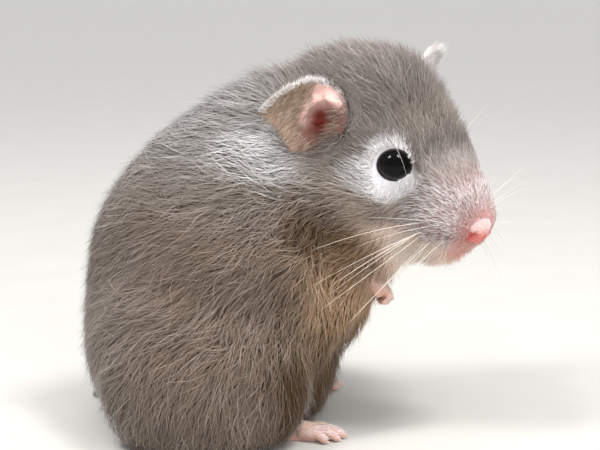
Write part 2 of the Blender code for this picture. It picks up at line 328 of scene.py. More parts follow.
EAR_AT = np.array([-8.6, 13.4, 6.7])
EAR_OUT = {"right": (-0.22, -0.96, 0.17), "left": (-0.33, 0.85, 0.40)}
EAR_OPENS = {"right": (0.91, -0.27, 0.26), "left": (0.95, 0.25, 0.10)}
EAR_FRONT = np.array([0.97, 0.14, -0.04])
EAR_THICKNESS = 0.38
EAR_FOLD = 1.6
LEFT_HOLLOW = 0.45
LEFT_ROUNDING = 28

# The rim, out from the canal and up across the petal. Where out is negative it runs forward.
EAR_RIM = [
    (13.3, 0.5), (12.2, 1.9), (10.6, 3.4), (8.8, 4.7), (7.0, 5.6), (5.2, 6.4), (3.4, 6.8),
    (1.4, 6.8), (-0.6, 6.6), (-2.6, 5.7), (-4.5, 3.8), (-5.1, 1.0), (-4.0, -2.6), (-1.7, -5.0),
    (1.8, -5.8), (4.6, -6.0), (5.9, -4.9), (7.0, -3.8), (8.2, -2.6), (10.4, -1.3), (11.9, -0.5),
]
ANTIHELIX = [(3.7, -0.6), (3.4, 1.6), (1.8, 3.2), (-0.8, 3.9), (-3.4, 3.6)]
CANAL_AT = (0.2, -0.2)
EAR_RINGS = 26
EAR_STEPS = 6


class Ear:
    """The ear's own axes: out to the tip, the way it opens, and across between them."""

    def __init__(self, word):
        side = SIDES[word]
        self.side = side
        self.hollow = LEFT_HOLLOW if side > 0 else 1.0
        self.at = from_head(EAR_AT * [1, side, 1])
        self.out = unit(head_way(EAR_OUT[word]))
        opens = head_way(EAR_OPENS[word])
        self.opens = unit(opens - self.out * dot(opens, self.out))
        self.across = unit(np.cross(self.opens, self.out) * side)
        self.front = head_way(EAR_FRONT * [1, side, 1])
        self.front = unit(self.front - self.across * dot(self.front, self.across))
        self.side_way = unit(np.cross(self.across, self.front) * side)
        if dot(self.side_way, self.out) < 0:
            self.side_way = -self.side_way

    def place(self, o, a, h):
        """World points from out, across and height; the cup turns forward past the canal."""
        bend = np.hypot(o, EAR_FOLD)[:, None]
        share = (1 + o[:, None] / bend) / 2
        run = self.out * (bend + o[:, None]) / 2 + self.front * (bend - o[:, None]) / 2
        rise = unit(self.opens * share + self.side_way * (1 - share))
        return self.at + run + self.across * a[:, None] + rise * h[:, None]

    def measure(self, points):
        """Out (forward past the canal, where negative) and across, of world points."""
        gap = points - self.at
        return dot(gap, self.out - self.front), dot(gap, self.across)

    def above(self, points):
        """Height above the petal, on the side it opens to."""
        gap = points - self.at
        o, _ = self.measure(points)
        return dot(gap, self.opens) - np.maximum(-o, 0) - EAR_FOLD / 2 * ramp(4, 0, np.abs(o))


EARS = {word: Ear(word) for word in SIDES}


def closed_curve(points, steps):
    """A smooth closed line through the points."""
    points = np.array(points, float)
    t = np.linspace(0, 1, steps, endpoint=False)[:, None]
    before, after = np.roll(points, 1, 0), np.roll(points, -1, 0)
    beyond = np.roll(points, -2, 0)
    spans = []
    for p0, p1, p2, p3 in zip(before, points, after, beyond):
        spans.append(
            0.5 * (2 * p1 + (p2 - p0) * t + (2 * p0 - 5 * p1 + 4 * p2 - p3) * t**2
                   + (3 * p1 - p0 - 3 * p2 + p3) * t**3)
        )
    return np.concatenate(spans)


def path_distance(o, a, path):
    points = np.stack([o, a], 1)
    return np.min([line_distance(points, start, end) for start, end in zip(path, path[1:])], 0)


def ear_height(o, a, share, hollow=1.0):
    """The relief of the inner face: a canal, a ridge that curls over it, a rolled rim."""
    canal = -2.7 * hollow * np.exp(-((o - CANAL_AT[0]) ** 2 + (a - CANAL_AT[1]) ** 2) / 1.9**2)
    cup = -0.9 * np.exp(-((o + 0.8) ** 2 / 9 + (a - 0.3) ** 2 / 12))
    ridge = 1.15 * np.exp(-((path_distance(o, a, ANTIHELIX) / 0.95) ** 2))
    rolled = 0.55 * ramp(0.6, 1.0, share) * ramp(-2, 4, a) * ramp(-2, 2, o)
    dished = -0.5 * np.sin(np.clip(o / 13, 0, 1) * math.pi)
    sunk = -1.5 * ramp(0.55, 1.05, share) * ramp(0.5, -2.0, o)
    ribs = 0.05 * np.sin((o * 0.55 + a) * 5.2) * ramp(3, 5, o) * ramp(1, 0.85, share)
    return canal + cup + ridge + rolled + dished + sunk + ribs


def ear_rim(ear):
    """The petal's outline: the right one is creased to a corner, the left one is rounder."""
    rim = closed_curve(EAR_RIM, EAR_STEPS)
    for _ in range(LEFT_ROUNDING if ear.side > 0 else 0):
        rim = (np.roll(rim, 1, 0) + rim * 2 + np.roll(rim, -1, 0)) / 4
    return rim


def make_ear(word):
    ear = EARS[word]
    rim = ear_rim(ear)
    count = len(rim)
    middle = np.array(CANAL_AT[:1]), np.array(CANAL_AT[1:])
    points = [ear.place(*middle, ear_height(*middle, np.zeros(1), ear.hollow))]
    for share in np.linspace(0, 1, EAR_RINGS)[1:]:
        o, a = (rim * share).T
        points.append(ear.place(o, a, ear_height(o, a, np.full(count, share), ear.hollow)))
    faces = [(0, 1 + j, 1 + (j + 1) % count) for j in range(count)]
    for ring in range(EAR_RINGS - 2):
        low, high = 1 + ring * count, 1 + (ring + 1) * count
        for j in range(count):
            k = (j + 1) % count
            faces.append((low + j, high + j, high + k, low + k))
    mesh = bpy.data.meshes.new("ear_" + word)
    mesh.from_pydata((np.concatenate(points) * MM).tolist(), [], faces)
    petal = new_piece("ear_" + word, mesh)
    shape = bmesh.new()
    shape.from_mesh(mesh)
    bmesh.ops.recalc_face_normals(shape, faces=shape.faces)
    if sum(Vector(ear.opens).dot(face.normal) for face in shape.faces) < 0:
        bmesh.ops.reverse_faces(shape, faces=shape.faces)
    shape.to_mesh(mesh)
    shape.free()
    thick = petal.modifiers.new("cartilage", "SOLIDIFY")
    thick.thickness = EAR_THICKNESS * MM
    thick.offset = -1.0
    return baked(petal)


ears = [make_ear(word) for word in SIDES]
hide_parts("ear_left", "ear_right")

# --------------------------------------
# Hands and feet. Bare pink skin over small bones: hands with four fingers, curled under the chin,
# and long flat soles with five toes. Each digit ends in a soft pad.
# --------------------------------------

PAW_WAY = np.array([0.86, -0.20, -0.47])
FINGER_RADIUS = 0.6
TOE_RADIUS = 0.8
FOOT_SPLAY = math.radians(8)
FOOT_FROM_MIDDLE = 13.5
SOLE_HEIGHT = 0.06
DIGIT_VOXEL = 0.2

# A claw's radius at its root, and its length.
HAND_CLAW = (0.27, 0.9)
FOOT_CLAW = (0.3, 1.5)


def add_chain(shape, points, radii, spacing=0.3):
    """Balls set close along a bent line, to be melted into one limb."""
    points = np.asarray(points, float)
    for start, end, r0, r1 in zip(points, points[1:], radii, radii[1:]):
        count = max(2, int(np.linalg.norm(end - start) / (spacing * max(r0, r1))))
        for t in np.linspace(0, 1, count):
            place = Matrix.Translation(Vector(start + (end - start) * t) * MM)
            bmesh.ops.create_icosphere(
                shape, subdivisions=2, radius=(r0 + (r1 - r0) * t) * MM, matrix=place
            )


def add_ball(shape, at, radii, axes):
    frame_of = Matrix(np.asarray(axes).T.tolist()).to_4x4() @ Matrix.Diagonal((*radii, 1))
    frame_of.translation = Vector(at)
    bmesh.ops.create_icosphere(
        shape, subdivisions=3, radius=1.0, matrix=Matrix.Scale(MM, 4) @ frame_of
    )


claw_lines = []


def make_hand(word):
    side = SIDES[word]
    palm = node_middle("forepaw_" + word) + [-0.9, 0.5 * side, 1.9]
    way = unit(PAW_WAY * [1, side, 1])
    across = unit(np.cross(way, [0, 0, 1]))
    over = np.cross(across, way)
    shape = bmesh.new()
    add_ball(shape, palm, (2.1, 1.9, 1.5), (way, across, over))
    add_chain(shape, [palm - way * 5 + over * 0.4, palm - way * 1.2], [1.9, 1.45])
    for spread in np.linspace(-1, 1, 4):
        knuckle = palm + way * 1.3 + across * spread * 1.35 + over * 0.2
        length = 2.6 * (1 - 0.14 * spread**2)
        middle = knuckle + unit(way * 0.7 - over * 0.7 + across * spread * 0.15) * length * 0.5
        end = middle + unit(-way * 0.2 - over) * length * 0.4
        tip = end + unit(-way * 0.9 - over * 0.6) * length * 0.25
        add_chain(
            shape, [knuckle - way, knuckle, middle, end, tip],
            [0.7, 0.7, FINGER_RADIUS, FINGER_RADIUS, FINGER_RADIUS * 0.75],
        )
        claw_lines.append((word, "fore", tip, unit(-way * 0.5 - over * 0.9), *HAND_CLAW))
    for spread in (-0.6, 0.6):
        add_chain(shape, [palm - over * 1.0 + across * spread * 1.4] * 2, [0.75, 0.75])
    hand = new_piece("hand_" + word, mesh_from(shape, "hand"))
    return melted(hand, DIGIT_VOXEL, smoothing=3)


def make_foot(word):
    side = SIDES[word]
    low, _ = node_corners("hind_foot_" + word)
    turn = side * FOOT_SPLAY
    way = np.array([math.cos(turn), math.sin(turn), 0])
    across = np.array([-math.sin(turn), math.cos(turn), 0])
    heel = np.array([low[0] - 0.2, FOOT_FROM_MIDDLE * side, 0.0])
    shape = bmesh.new()
    add_ball(shape, heel + way * 5.4 + [0, 0, 0.5], (6.4, 2.3, 2.6), (way, across, (0, 0, 1)))
    add_ball(shape, heel + way * 9.2 + [0, 0, 0.5], (2.6, 2.5, 1.5), (way, across, (0, 0, 1)))
    for spread in np.linspace(-1, 1, 5):
        root = heel + way * 11.5 * (0.93 - 0.16 * abs(spread) ** 1.5) + across * spread * 2.3
        toe = unit(way + across * spread * 0.34)
        length = 4.2 * (1 - 0.22 * spread**2)
        root[2] = 1.25
        middle = root + toe * length * 0.45 + [0, 0, 0.25]
        end = root + toe * length * 0.9
        end[2] = TOE_RADIUS
        add_chain(
            shape, [root - toe * 1.5, root, middle, end],
            [0.95, 0.9, TOE_RADIUS * 0.85, TOE_RADIUS * 0.9],
        )
        claw_way = unit(toe - [0, 0, 0.12])
        claw_lines.append((word, "hind", end + toe * 0.2, claw_way, *FOOT_CLAW))
    foot = new_piece("foot_" + word, mesh_from(shape, "foot"))
    foot = melted(foot, DIGIT_VOXEL * 1.25, smoothing=3)
    points, _, _ = read_mesh(foot.data)
    points[:, 2] = np.maximum(points[:, 2], SOLE_HEIGHT)
    move_points(foot.data, points)
    return foot


hands_and_feet = [make_hand(word) for word in SIDES] + [make_foot(word) for word in SIDES]
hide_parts("forepaw_left", "forepaw_right", "hind_foot_left", "hind_foot_right")

# --------------------------------------
# The nose. A small pink pad of damp hairless skin between the whisker pads, with two comma-shaped
# nostrils and a cleft that runs down to the lip. It is part of the same skin.
# --------------------------------------

NOSE_RADII = np.array([2.2, 3.3, 2.6])
NOSE_LIFT = (-0.3, 0.0, 1.0)
NOSTRIL_AT = np.array([1.1, 2.75, 0.15])
NOSE_VOXEL = 0.16


def make_nose():
    shape = bmesh.new()
    middle = node_middle("nose") + head_way(NOSE_LIFT)
    add_ball(shape, middle, NOSE_RADII, HEAD_AXES)
    for side in SIDES.values():
        wing = middle + head_way([0.7, 2.2 * side, -0.3])
        add_ball(shape, wing, (1.1, 1.0, 1.1), HEAD_AXES)
    nose = melted(new_piece("nose_pad", mesh_from(shape, "nose")), NOSE_VOXEL, smoothing=4)
    points, normals, _ = read_mesh(nose.data)
    head = in_head(points) - in_head(middle)
    for side in SIDES.values():
        gap = (head - NOSTRIL_AT * [1, side, 1]) / [0.55, 0.9, 0.36]
        points -= normals * (0.8 * np.exp(-dot(gap, gap)))[:, None]
    cleft = np.exp(-((head[:, 1] / 0.22) ** 2)) * ramp(0.4, -0.6, head[:, 2])
    points -= normals * (0.3 * cleft)[:, None]
    move_points(nose.data, points)
    return nose


nose_pad = make_nose()


def joined(pieces, name):
    shape = bmesh.new()
    for piece in pieces:
        shape.from_mesh(piece.data)
        bpy.data.objects.remove(piece)
    bmesh.ops.triangulate(shape, faces=shape.faces)
    return new_piece(name, mesh_from(shape, name))


def grow_on(body, growths):
    """Unites the growths with the body's skin, and leaves one closed skin of triangles."""
    step = body.modifiers.new("grow on", "BOOLEAN")
    step.operation = "UNION"
    step.solver = "EXACT"
    step.use_self = True
    step.object = growths
    baked(body)
    bpy.data.objects.remove(growths)
    shape = bmesh.new()
    shape.from_mesh(body.data)
    bmesh.ops.remove_doubles(shape, verts=shape.verts, dist=0.002 * MM)
    bmesh.ops.triangulate(shape, faces=shape.faces)
    shape.to_mesh(body.data)
    shape.free()


grow_on(skin, joined(ears + hands_and_feet + [nose_pad], "growths"))

# --------------------------------------
# The markings. Taupe grey, silvered along the back, fawn on the chest, with white spectacles round
# the eyes, pale patches behind the ears and a rosy, thinly haired muzzle. Hide and hair share them.
# Painted shade and light lie over them: painted shade under the cheeks, on the lower chest, belly
# and haunches and along the top of the muzzle, and painted light on the chin, under the eyes, in
# the eye rings and behind the right ear.
# --------------------------------------


def linear(code):
    """Linear light from an sRGB hex colour."""
    value = np.array([int(code[i : i + 2], 16) for i in (1, 3, 5)]) / 255
    return np.where(value <= 0.04045, value / 12.92, ((value + 0.055) / 1.055) ** 2.4)


TAUPE = linear("#7a7068")
SILVER = linear("#908d8b")
SLATE = linear("#71675f")
CROWN = linear("#6a625e")
LOAM = linear("#756353")
PALE = linear("#dddee0")
WHITE = linear("#f7f6f8")
FAWN = linear("#a08466")
UMBER_SHADE = linear("#3a2400")
CREAM = linear("#f8dcc4")
ROSE = linear("#93726d")
CHEEK = linear("#ab9c8f")
BRIDGE = linear("#a09792")
SMOKE = linear("#665d56")
BLUSH = linear("#c9827b")
ROSE_PALE = linear("#ead4d2")
RING_SHIFT = (0.35, 0.0, 0.8)


def patch(points, at, radii):
    """A soft-edged oval: 1 at its middle, 0 at its rim."""
    return ramp(1.0, 0.35, oval(points, at, radii))


def mottle(points, size, seed):
    """Smooth uneven noise from -1 to 1, with lumps about this many millimetres across."""
    waves = np.random.default_rng(seed)
    total = np.zeros(len(points))
    for _ in range(7):
        wave = unit(waves.normal(size=3)) * math.pi / size * waves.uniform(0.7, 1.5)
        total += np.sin(points @ wave + waves.uniform(0, 2 * math.pi))
    return np.clip(total / 3.2, -1, 1)


def mirrored_patch(points, at, radii):
    return np.maximum(patch(points, at, radii), patch(points, np.asarray(at) * [1, -1, 1], radii))


def layered(colour, *layers):
    """Lays colours over one another, each by its share."""
    for over, share in layers:
        colour = blend(colour, over, share)
    return colour


def coat_colours_and_painted_light(points):
    """The colour of the hair's visible length over each place on the hide, with painted shade and
    painted light laid into it.
    """
    plain = np.tile(TAUPE, (len(points), 1))
    head = in_head(points)
    forward, up = head[:, 0], head[:, 2]
    across = head * [1, 0, 1] + np.abs(head) * [0, 1, 0]
    drift = points + np.stack([mottle(points, size=9, seed=s) for s in (1, 2, 3)], 1) * 1.5
    x, z = drift[:, 0], drift[:, 2]
    body = layered(
        plain,
        (SILVER, 0.9 * ramp(38, 60, z)),
        (LOAM, 0.65 * ramp(50, 34, z) * ramp(-36, -20, x)),
        # Painted shade: the haunches darker low down, towards the floor.
        (SLATE, 0.3 * ramp(16, 4, z) * ramp(-38, -20, x)),
        (FAWN, 0.85 * ramp(-4, 9, x) * ramp(46, 34, z)),
        # Painted shade in umber: lower chest and belly, under each cheek, and the breast.
        (UMBER_SHADE, 0.9 * ramp(-7, 2, x) * ramp(24, 11, z)),
        (UMBER_SHADE, 0.8 * mirrored_patch(drift, (6.5, -15, 37), (9, 9, 6))),
        (UMBER_SHADE, 0.45 * mirrored_patch(drift, (14, -11, 31), (8, 8, 6))),
        # Painted shade low on each haunch.
        (UMBER_SHADE, 0.4 * mirrored_patch(drift, (-27, -20, 10), (7, 7, 7))),
        (SLATE, 0.7 * mirrored_patch(drift, (-9, -21, 41.5), (11, 8, 4))),
        (PALE, 0.5 * ramp(8, 4, z) * ramp(-26, -33, x)),
        # A real pale patch, strengthened behind the right ear with painted light.
        (PALE, 0.95 * patch(drift, (-4, -16.5, 52.5), (14, 11, 9))),
        (PALE, 0.5 * patch(drift, (-6, 17.0, 52.5), (14, 12, 10))),
    )
    face = layered(
        plain,
        (CROWN, 0.75 * ramp(2, 6, up) * ramp(13, 9, forward)),
        (TAUPE * 1.08, 0.8 * patch(across, (4.5, 3.0, 11.0), (6, 7, 5))),
        (CROWN * 0.85, 0.5 * patch(across, (11.5, 3.0, 8.0), (5.5, 6, 4.5))),
        (CHEEK, 0.9 * ramp(2, -5, up) * ramp(9, 6, forward)),
        (BRIDGE, 0.85 * ramp(10, 13.5, forward)),
        (ROSE, 0.95 * ramp(11.5, 17.5, forward)),
        # The chin's real cream, pushed paler and bluer as painted light against its shade.
        (CREAM * [1.1, 1.1, 1.25], ramp(-5.0, -8.0, up) * ramp(5, 9, forward)),
        (FAWN, 0.9 * ramp(-7, -9.5, up) * ramp(9, 5, forward)),
        # Painted shade along the top of the muzzle.
        (BRIDGE * 0.8, 0.6 * ramp(2.2, 5.0, up) * ramp(20, 14.5, forward) * ramp(9, 12, forward)),
        (PALE, 0.5 * patch(across, (3.5, 13.0, 1.0), (6.5, 6, 4.4))),
        (PALE, 0.3 * patch(across, (-11.5, 14.0, 0.5), (5.5, 5, 4.5))),
        # Painted light: a paler patch under each eye over the shaded furrow of the cheek.
        (CHEEK * 1.25, 0.6 * patch(across, (8.7, 9.3, -3.6), (3.5, 4, 2.6))),
    )
    from_nose = head - NOSE_IN_HEAD + [0.8, 0, 0.4]
    colours = layered(
        body,
        (face, head_share(drift)),
        (ROSE_PALE, 0.38 * ramp(15.0, 19.0, forward) * ramp(-6.5, -2.5, up)),
        (BLUSH, 0.75 * ramp(7.4, 4.2, np.sqrt(dot(from_nose, from_nose)))),
    )
    for word, side in SIDES.items():
        shift = head_way(np.array(RING_SHIFT) * [1, side, 1])
        reach = off_eye_axis(points + shift, side) + 0.7 * mottle(points, size=2.2, seed=21)
        ahead = head - EYE_IN_HEAD - EYE_SHIFT
        reach = reach + 2.4 * ramp(0.5, 3.5, ahead[:, 0]) * ramp(-1.5, 1.5, ahead[:, 2])
        # The real white eye rings, pushed past white as painted light against the lids' shade.
        colours = blend(colours, WHITE * 1.06, ramp(6.6, 3.6, reach))
        o, a = EARS[word].measure(points)
        front = np.exp(-((o + 4.5) ** 2 + (a - 5.5) ** 2) / 9) * head_share(points)
        colours = blend(colours, SMOKE, 0.7 * front * (head[:, 1] * side > 0))
    return colours


# --------------------------------------
# The hide's colour: pink where it is bare, on nose, ears, hands and feet, and dusky elsewhere,
# where only what shows between the hairs can be seen.
# --------------------------------------

EAR_BROWN = linear("#816b5a")
EAR_LIT_PALE = linear("#e4dcd8")
EAR_PINK = linear("#d6aca3")
EAR_RED = linear("#8e3a2e")
EAR_FLUSH = linear("#9f5c50")
EAR_EDGE = linear("#cfc9c5")
EAR_BACK = linear("#a3968f")
EAR_SHADE_BROWN = linear("#5f3a2e")
NOSE_PINK = linear("#c86c62")
NOSTRIL_RED = linear("#a94f4a")
NOSE_SHINE = linear("#edd3d0")
PAW_PINK = linear("#c9a08f")
EAR_REACH = 16.12


def ear_colour(points, normals, word):
    """The petal's colour, and how surely a point belongs to this ear."""
    ear = EARS[word]
    o, a = ear.measure(points)
    gap = points - ear.at
    h = dot(gap, ear.opens)
    # The left ear's pale inner face is painted light; the right ear shows the brown.
    outer = EAR_BROWN if ear.side < 0 else EAR_LIT_PALE
    behind = ramp(0.0, -0.4, h + 0.55 + 0.4 * np.sin(np.clip(o / 13, 0, 1) * math.pi))
    across = unit(gap - h[:, None] * ear.opens)
    opening = dot(normals, ear.opens)
    edge = ramp(0.3, 0.7, dot(normals, across)) * ramp(0.5, 0.1, opening)
    back = np.maximum(ramp(-0.15, -0.5, opening), edge)
    colour = layered(
        np.tile(EAR_PINK, (len(points), 1)),
        (outer, ramp(2.2, 6.2, o + 0.18 * a + 0.3 * mottle(points, size=1.6, seed=9))),
        (np.minimum(outer * 2.0, 0.8), 0.9 * ramp(0.5, -2.5, a) * ramp(3.5, 6.5, o)),
        (EAR_FLUSH, 0.75 * ramp(4.6, 2.2, np.hypot(o + 0.2, a + 1.5))),
        (EAR_PINK, 0.9 * ramp(1.5, 0.5, path_distance(o, a, ANTIHELIX))),
        # The canal: red skin, darkened as painted shade for the depth of the opening.
        (EAR_RED, ramp(2.3, 0.9, np.hypot(o - 0.2, (a + 0.4) * 0.85))),
        # Below the canal: brown haired skin, with painted shade of the cavity over it.
        (EAR_SHADE_BROWN, 0.85 * ramp(-0.8, -2.6, a) * ramp(5.5, 3.5, o)),
        (EAR_FLUSH, 0.8 * ramp(-0.9, -2.0, o) * ramp(2.8, 1.4, a)),
        (EAR_EDGE, behind * ramp(3, 5, o)),
        (EAR_BACK, back * ramp(2, 5, o)),
        (TAUPE, back * ramp(5, 2, o)),
    )
    mine = ramp(2.6, 1.6, np.abs(h + 0.3)) * (o > 3)
    near = ramp(7.4, 6.2, np.hypot(o, a)) * (o <= 3) * (dot(gap, ear.side_way) > -5)
    near = near * (h > -1.6 - 2.9 * ear.hollow)
    return colour, np.clip(mine + near, 0, 1)


def hide_colour(points, normals):
    head = in_head(points)
    from_pad = head - in_head(node_middle("nose") + head_way(NOSE_LIFT))
    pad = np.tile(NOSE_PINK, (len(points), 1))
    # The pad's upper part paler: partly its paler skin, partly a painted highlight.
    pad = blend(pad, NOSE_SHINE, 0.65 * ramp(-0.6, 1.8, from_pad[:, 2]))
    for side in SIDES.values():
        slit = oval(from_pad, NOSTRIL_AT * [1, side, 1], [0.8, 1.3, 0.6])
        # Nostrils: the red lining in shallow dents, deepened as painted shade of the openings.
        pad = blend(pad, NOSTRIL_RED, ramp(1.9, 0.6, slit))
    colour = layered(
        coat_colours_and_painted_light(points) * 0.88,
        (PAW_PINK, ramp(2.2, 1.6, tail_distance(points))),
        (NOSE_PINK * 0.85, 0.6 * ramp(10, 14, head[:, 0]) * head_share(points)),
        (pad, ramp(1.18, 1.0, oval(from_pad, 0, NOSE_RADII * 1.12))),
    )
    for word in SIDES:
        shade, share = ear_colour(points, normals, word)
        colour = blend(colour, shade, share * (span(points - EARS[word].at) < EAR_REACH))
        for node, room in (("forepaw_" + word, 1.8), ("hind_foot_" + word, 0.6)):
            low, high = node_corners(node)
            inside = np.all((points > low - room) & (points < high + room), axis=1)
            colour = blend(colour, PAW_PINK, inside * 1.0)
    return colour


def add_node(tree, kind, inputs=None, **settings):
    """Adds a node with its settings; an input is a value or the socket it is linked from."""
    node = tree.nodes.new(kind)
    for name, value in settings.items():
        setattr(node, name, value)
    for name, value in (inputs or {}).items():
        if isinstance(value, bpy.types.NodeSocket):
            tree.links.new(value, node.inputs[name])
        else:
            node.inputs[name].default_value = value
    return node


def new_material(name):
    """An empty material and its node tree."""
    material = bpy.data.materials.new(name)
    material.use_nodes = True
    material.node_tree.nodes.clear()
    return material, material.node_tree


def store_colours(mesh, name, colours):
    """Writes linear colours on a mesh's points."""
    rgba = np.ones((len(mesh.vertices), 4), np.float32)
    rgba[:, :3] = np.clip(colours, 0, 1)
    mesh.attributes.new(name, "FLOAT_COLOR", "POINT").data.foreach_set("color", rgba.ravel())


def flecked(tree, layer, scale, detail, darkest):
    """The colour laid on the mesh with fine flecks of shade in it, and the noise behind them."""
    colour = add_node(tree, "ShaderNodeAttribute", attribute_name=layer)
    place = add_node(tree, "ShaderNodeTexCoord")
    fine = add_node(
        tree, "ShaderNodeTexNoise",
        {"Vector": place.outputs["Object"], "Scale": scale, "Detail": detail, "Roughness": 0.6},
    )
    flecks = add_node(
        tree, "ShaderNodeMapRange",
        {"Value": fine.outputs["Fac"], "From Min": 0.3, "From Max": 0.7, "To Min": darkest,
         "To Max": 1.1},
    )
    tinted = add_node(
        tree, "ShaderNodeVectorMath",
        {0: colour.outputs["Color"], "Scale": flecks.outputs[0]}, operation="SCALE",
    )
    return tinted.outputs[0], fine.outputs["Fac"]


# Living hide: soft, faintly damp, with fine wrinkles about 0.3 mm apart and a slight bloom where
# light grazes it.
def hide_material():
    material, tree = new_material("living hide")
    tinted, fine = flecked(tree, "hide_colour", scale=3300.0, detail=3.0, darkest=0.86)
    wrinkles = {"Height": fine, "Strength": 0.35, "Distance": 0.00008}
    bump = add_node(tree, "ShaderNodeBump", wrinkles)
    shader = add_node(
        tree, "ShaderNodeBsdfPrincipled",
        {"Base Color": tinted, "Normal": bump.outputs[0], "Roughness": 0.52,
         "Specular IOR Level": 0.4, "Sheen Weight": 0.15},
    )
    add_node(tree, "ShaderNodeOutputMaterial", {"Surface": shader.outputs[0]})
    return material


points, normals, _ = read_mesh(skin.data)
store_colours(skin.data, "hide_colour", hide_colour(points, normals))
skin.data.materials.clear()
skin.data.materials.append(hide_material())
skin.data.shade_smooth()


def unwrap(piece):
    """Unwraps the piece's own shape for the bake."""
    layer = piece.data.uv_layers.new(name="OFBake")
    piece.data.uv_layers.active = layer
    bpy.context.view_layer.objects.active = piece
    piece.select_set(True)
    bpy.ops.object.mode_set(mode="EDIT")
    bpy.ops.mesh.select_all(action="SELECT")
    bpy.ops.uv.smart_project(angle_limit=math.radians(70), island_margin=0.002)
    bpy.ops.object.mode_set(mode="OBJECT")
    piece.select_set(False)


unwrap(skin)

# --------------------------------------
# Eyes. Wet black balls that bulge from the skull, each with a clear cornea and a thin dark rim of
# bare lid drawn out to a small corner towards the nose.
# --------------------------------------

EYE_RADIUS = 3.2
EYE_SQUINT = 0.91
LID_RADIUS = 2.95
LID_TUBE = 0.2
LID_CORNER = 0.75
CORNER_WAY = (0.55, -0.30, -0.62)


def toned_material(name, scale, dark, light, gloss):
    """A finish whose colour drifts between two tones, in patches a metre / scale across."""
    material, tree = new_material(name)
    place = add_node(tree, "ShaderNodeTexCoord")
    cloud = add_node(
        tree, "ShaderNodeTexNoise", {"Vector": place.outputs["Object"], "Scale": scale}
    )
    tone = add_node(tree, "ShaderNodeValToRGB", {"Fac": cloud.outputs["Fac"]})
    for end, colour in zip(tone.color_ramp.elements, (dark, light)):
        end.color = (*linear(colour), 1)
    inputs = {"Base Color": tone.outputs["Color"], **gloss}
    shader = add_node(tree, "ShaderNodeBsdfPrincipled", inputs)
    add_node(tree, "ShaderNodeOutputMaterial", {"Surface": shader.outputs[0]})
    return material


def eye_frame(side):
    """Two axes across the eye, the first towards its corner, and the one it looks along."""
    axis = eye_axis(side)
    corner = head_way(np.array(CORNER_WAY) * [1, side, 1])
    corner = unit(corner - axis * dot(corner, axis))
    return corner, np.cross(axis, corner), axis


def narrowed(offsets, axis):
    """The eye is a little wider than it is tall."""
    rise = unit(np.array([0, 0, 1.0]) - axis * axis[2])
    return offsets - dot(offsets, rise)[..., None] * rise * (1 - EYE_SQUINT)


def make_eye(word, finish):
    side = SIDES[word]
    first, second, axis = eye_frame(side)
    shape = bmesh.new()
    bmesh.ops.create_uvsphere(shape, u_segments=56, v_segments=36, radius=1.0)
    for vert in shape.verts:
        way = np.array(vert.co)
        bulge = 1 + 0.035 * float(ramp(0.62, 1.0, way[2]))
        offset = (first * way[0] + second * way[1] + axis * way[2]) * EYE_RADIUS * bulge
        vert.co = Vector((eye_centre(side) + narrowed(offset, axis)) * MM)
    bmesh.ops.recalc_face_normals(shape, faces=shape.faces)
    ball = new_piece("eyeball_" + word, mesh_from(shape, "eyeball_" + word), finish)
    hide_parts("eye_" + word)
    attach(ball, "root")


def lid_line(side, turns):
    """Points along the lid's edge, at these angles round the eye."""
    first, second, axis = eye_frame(side)
    away = np.abs((turns + math.pi) % (2 * math.pi) - math.pi)
    radius = LID_RADIUS + LID_CORNER * np.exp(-((away / 0.3) ** 2))
    on_ball = np.minimum(radius, EYE_RADIUS - 0.08)
    height = np.sqrt(np.maximum(EYE_RADIUS**2 - on_ball**2, 0)) + 0.05
    ring = np.cos(turns)[:, None] * first + np.sin(turns)[:, None] * second
    return eye_centre(side) + narrowed(ring * radius[:, None] + axis * height[:, None], axis)


def make_lid(word, finish):
    side = SIDES[word]
    count, around = 96, 10
    turns = np.linspace(0, 2 * math.pi, count, endpoint=False)
    line = lid_line(side, turns)
    along = unit(np.roll(line, -1, 0) - np.roll(line, 1, 0))
    up = unit(line - eye_centre(side))
    out = np.cross(along, up)
    points = []
    for turn in np.linspace(0, 2 * math.pi, around, endpoint=False):
        points.append(line + LID_TUBE * (math.cos(turn) * out * 1.25 + math.sin(turn) * up))
    faces = []
    for i in range(around):
        for j in range(count):
            k, m = (i + 1) % around, (j + 1) % count
            faces.append((i * count + j, i * count + m, k * count + m, k * count + j))
    mesh = bpy.data.meshes.new("lid_" + word)
    mesh.from_pydata((np.concatenate(points) * MM).tolist(), [], faces)
    shape = bmesh.new()
    shape.from_mesh(mesh)
    bmesh.ops.recalc_face_normals(shape, faces=shape.faces)
    shape.to_mesh(mesh)
    shape.free()
    lid = new_piece("lid_" + word, mesh, finish)
    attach(lid, "root")


# A wet cornea over a black iris: near black, clouded every millimetre or so, smooth as glass,
# with small hard glints.
eye_black = toned_material(
    "wet black eye", scale=900.0, dark="#040405", light="#080808",
    gloss={"Roughness": 0.03, "IOR": 1.376, "Specular IOR Level": 0.22},
)
# Bare lid skin: dark, with paler grains 0.4 mm apart, and moist, so that it shines a little.
lid_dark = toned_material(
    "dark lid rim", scale=2500.0, dark="#1d1615", light="#3d2d2b",
    gloss={"Roughness": 0.32, "Specular IOR Level": 0.5},
)
for word in SIDES:
    make_eye(word, eye_black)
    make_lid(word, lid_dark)

# --------------------------------------
# The coat. Long soft hair over back, flanks and haunches, shorter on the head and almost down on
# the muzzle. Each hair is a thin closed three-sided taper of mesh, rooted in the hide, lying along
# the body and drawn together with its neighbours into wisps.
# --------------------------------------

COAT_SEED = 41
COAT_PIECES = 8
COVER = 6.1
WISP_EVERY = 13
BAKE_PATCH = 0.003
SOFT_SHADING = 0.65
LONG_HAIR = 5.0
LONG_JOINTS = 3
SHORT_JOINTS = 2
MOST_HAIRS = 46.0
LOWEST_ROOT = 0.4
LOWEST_HAIR = 0.15


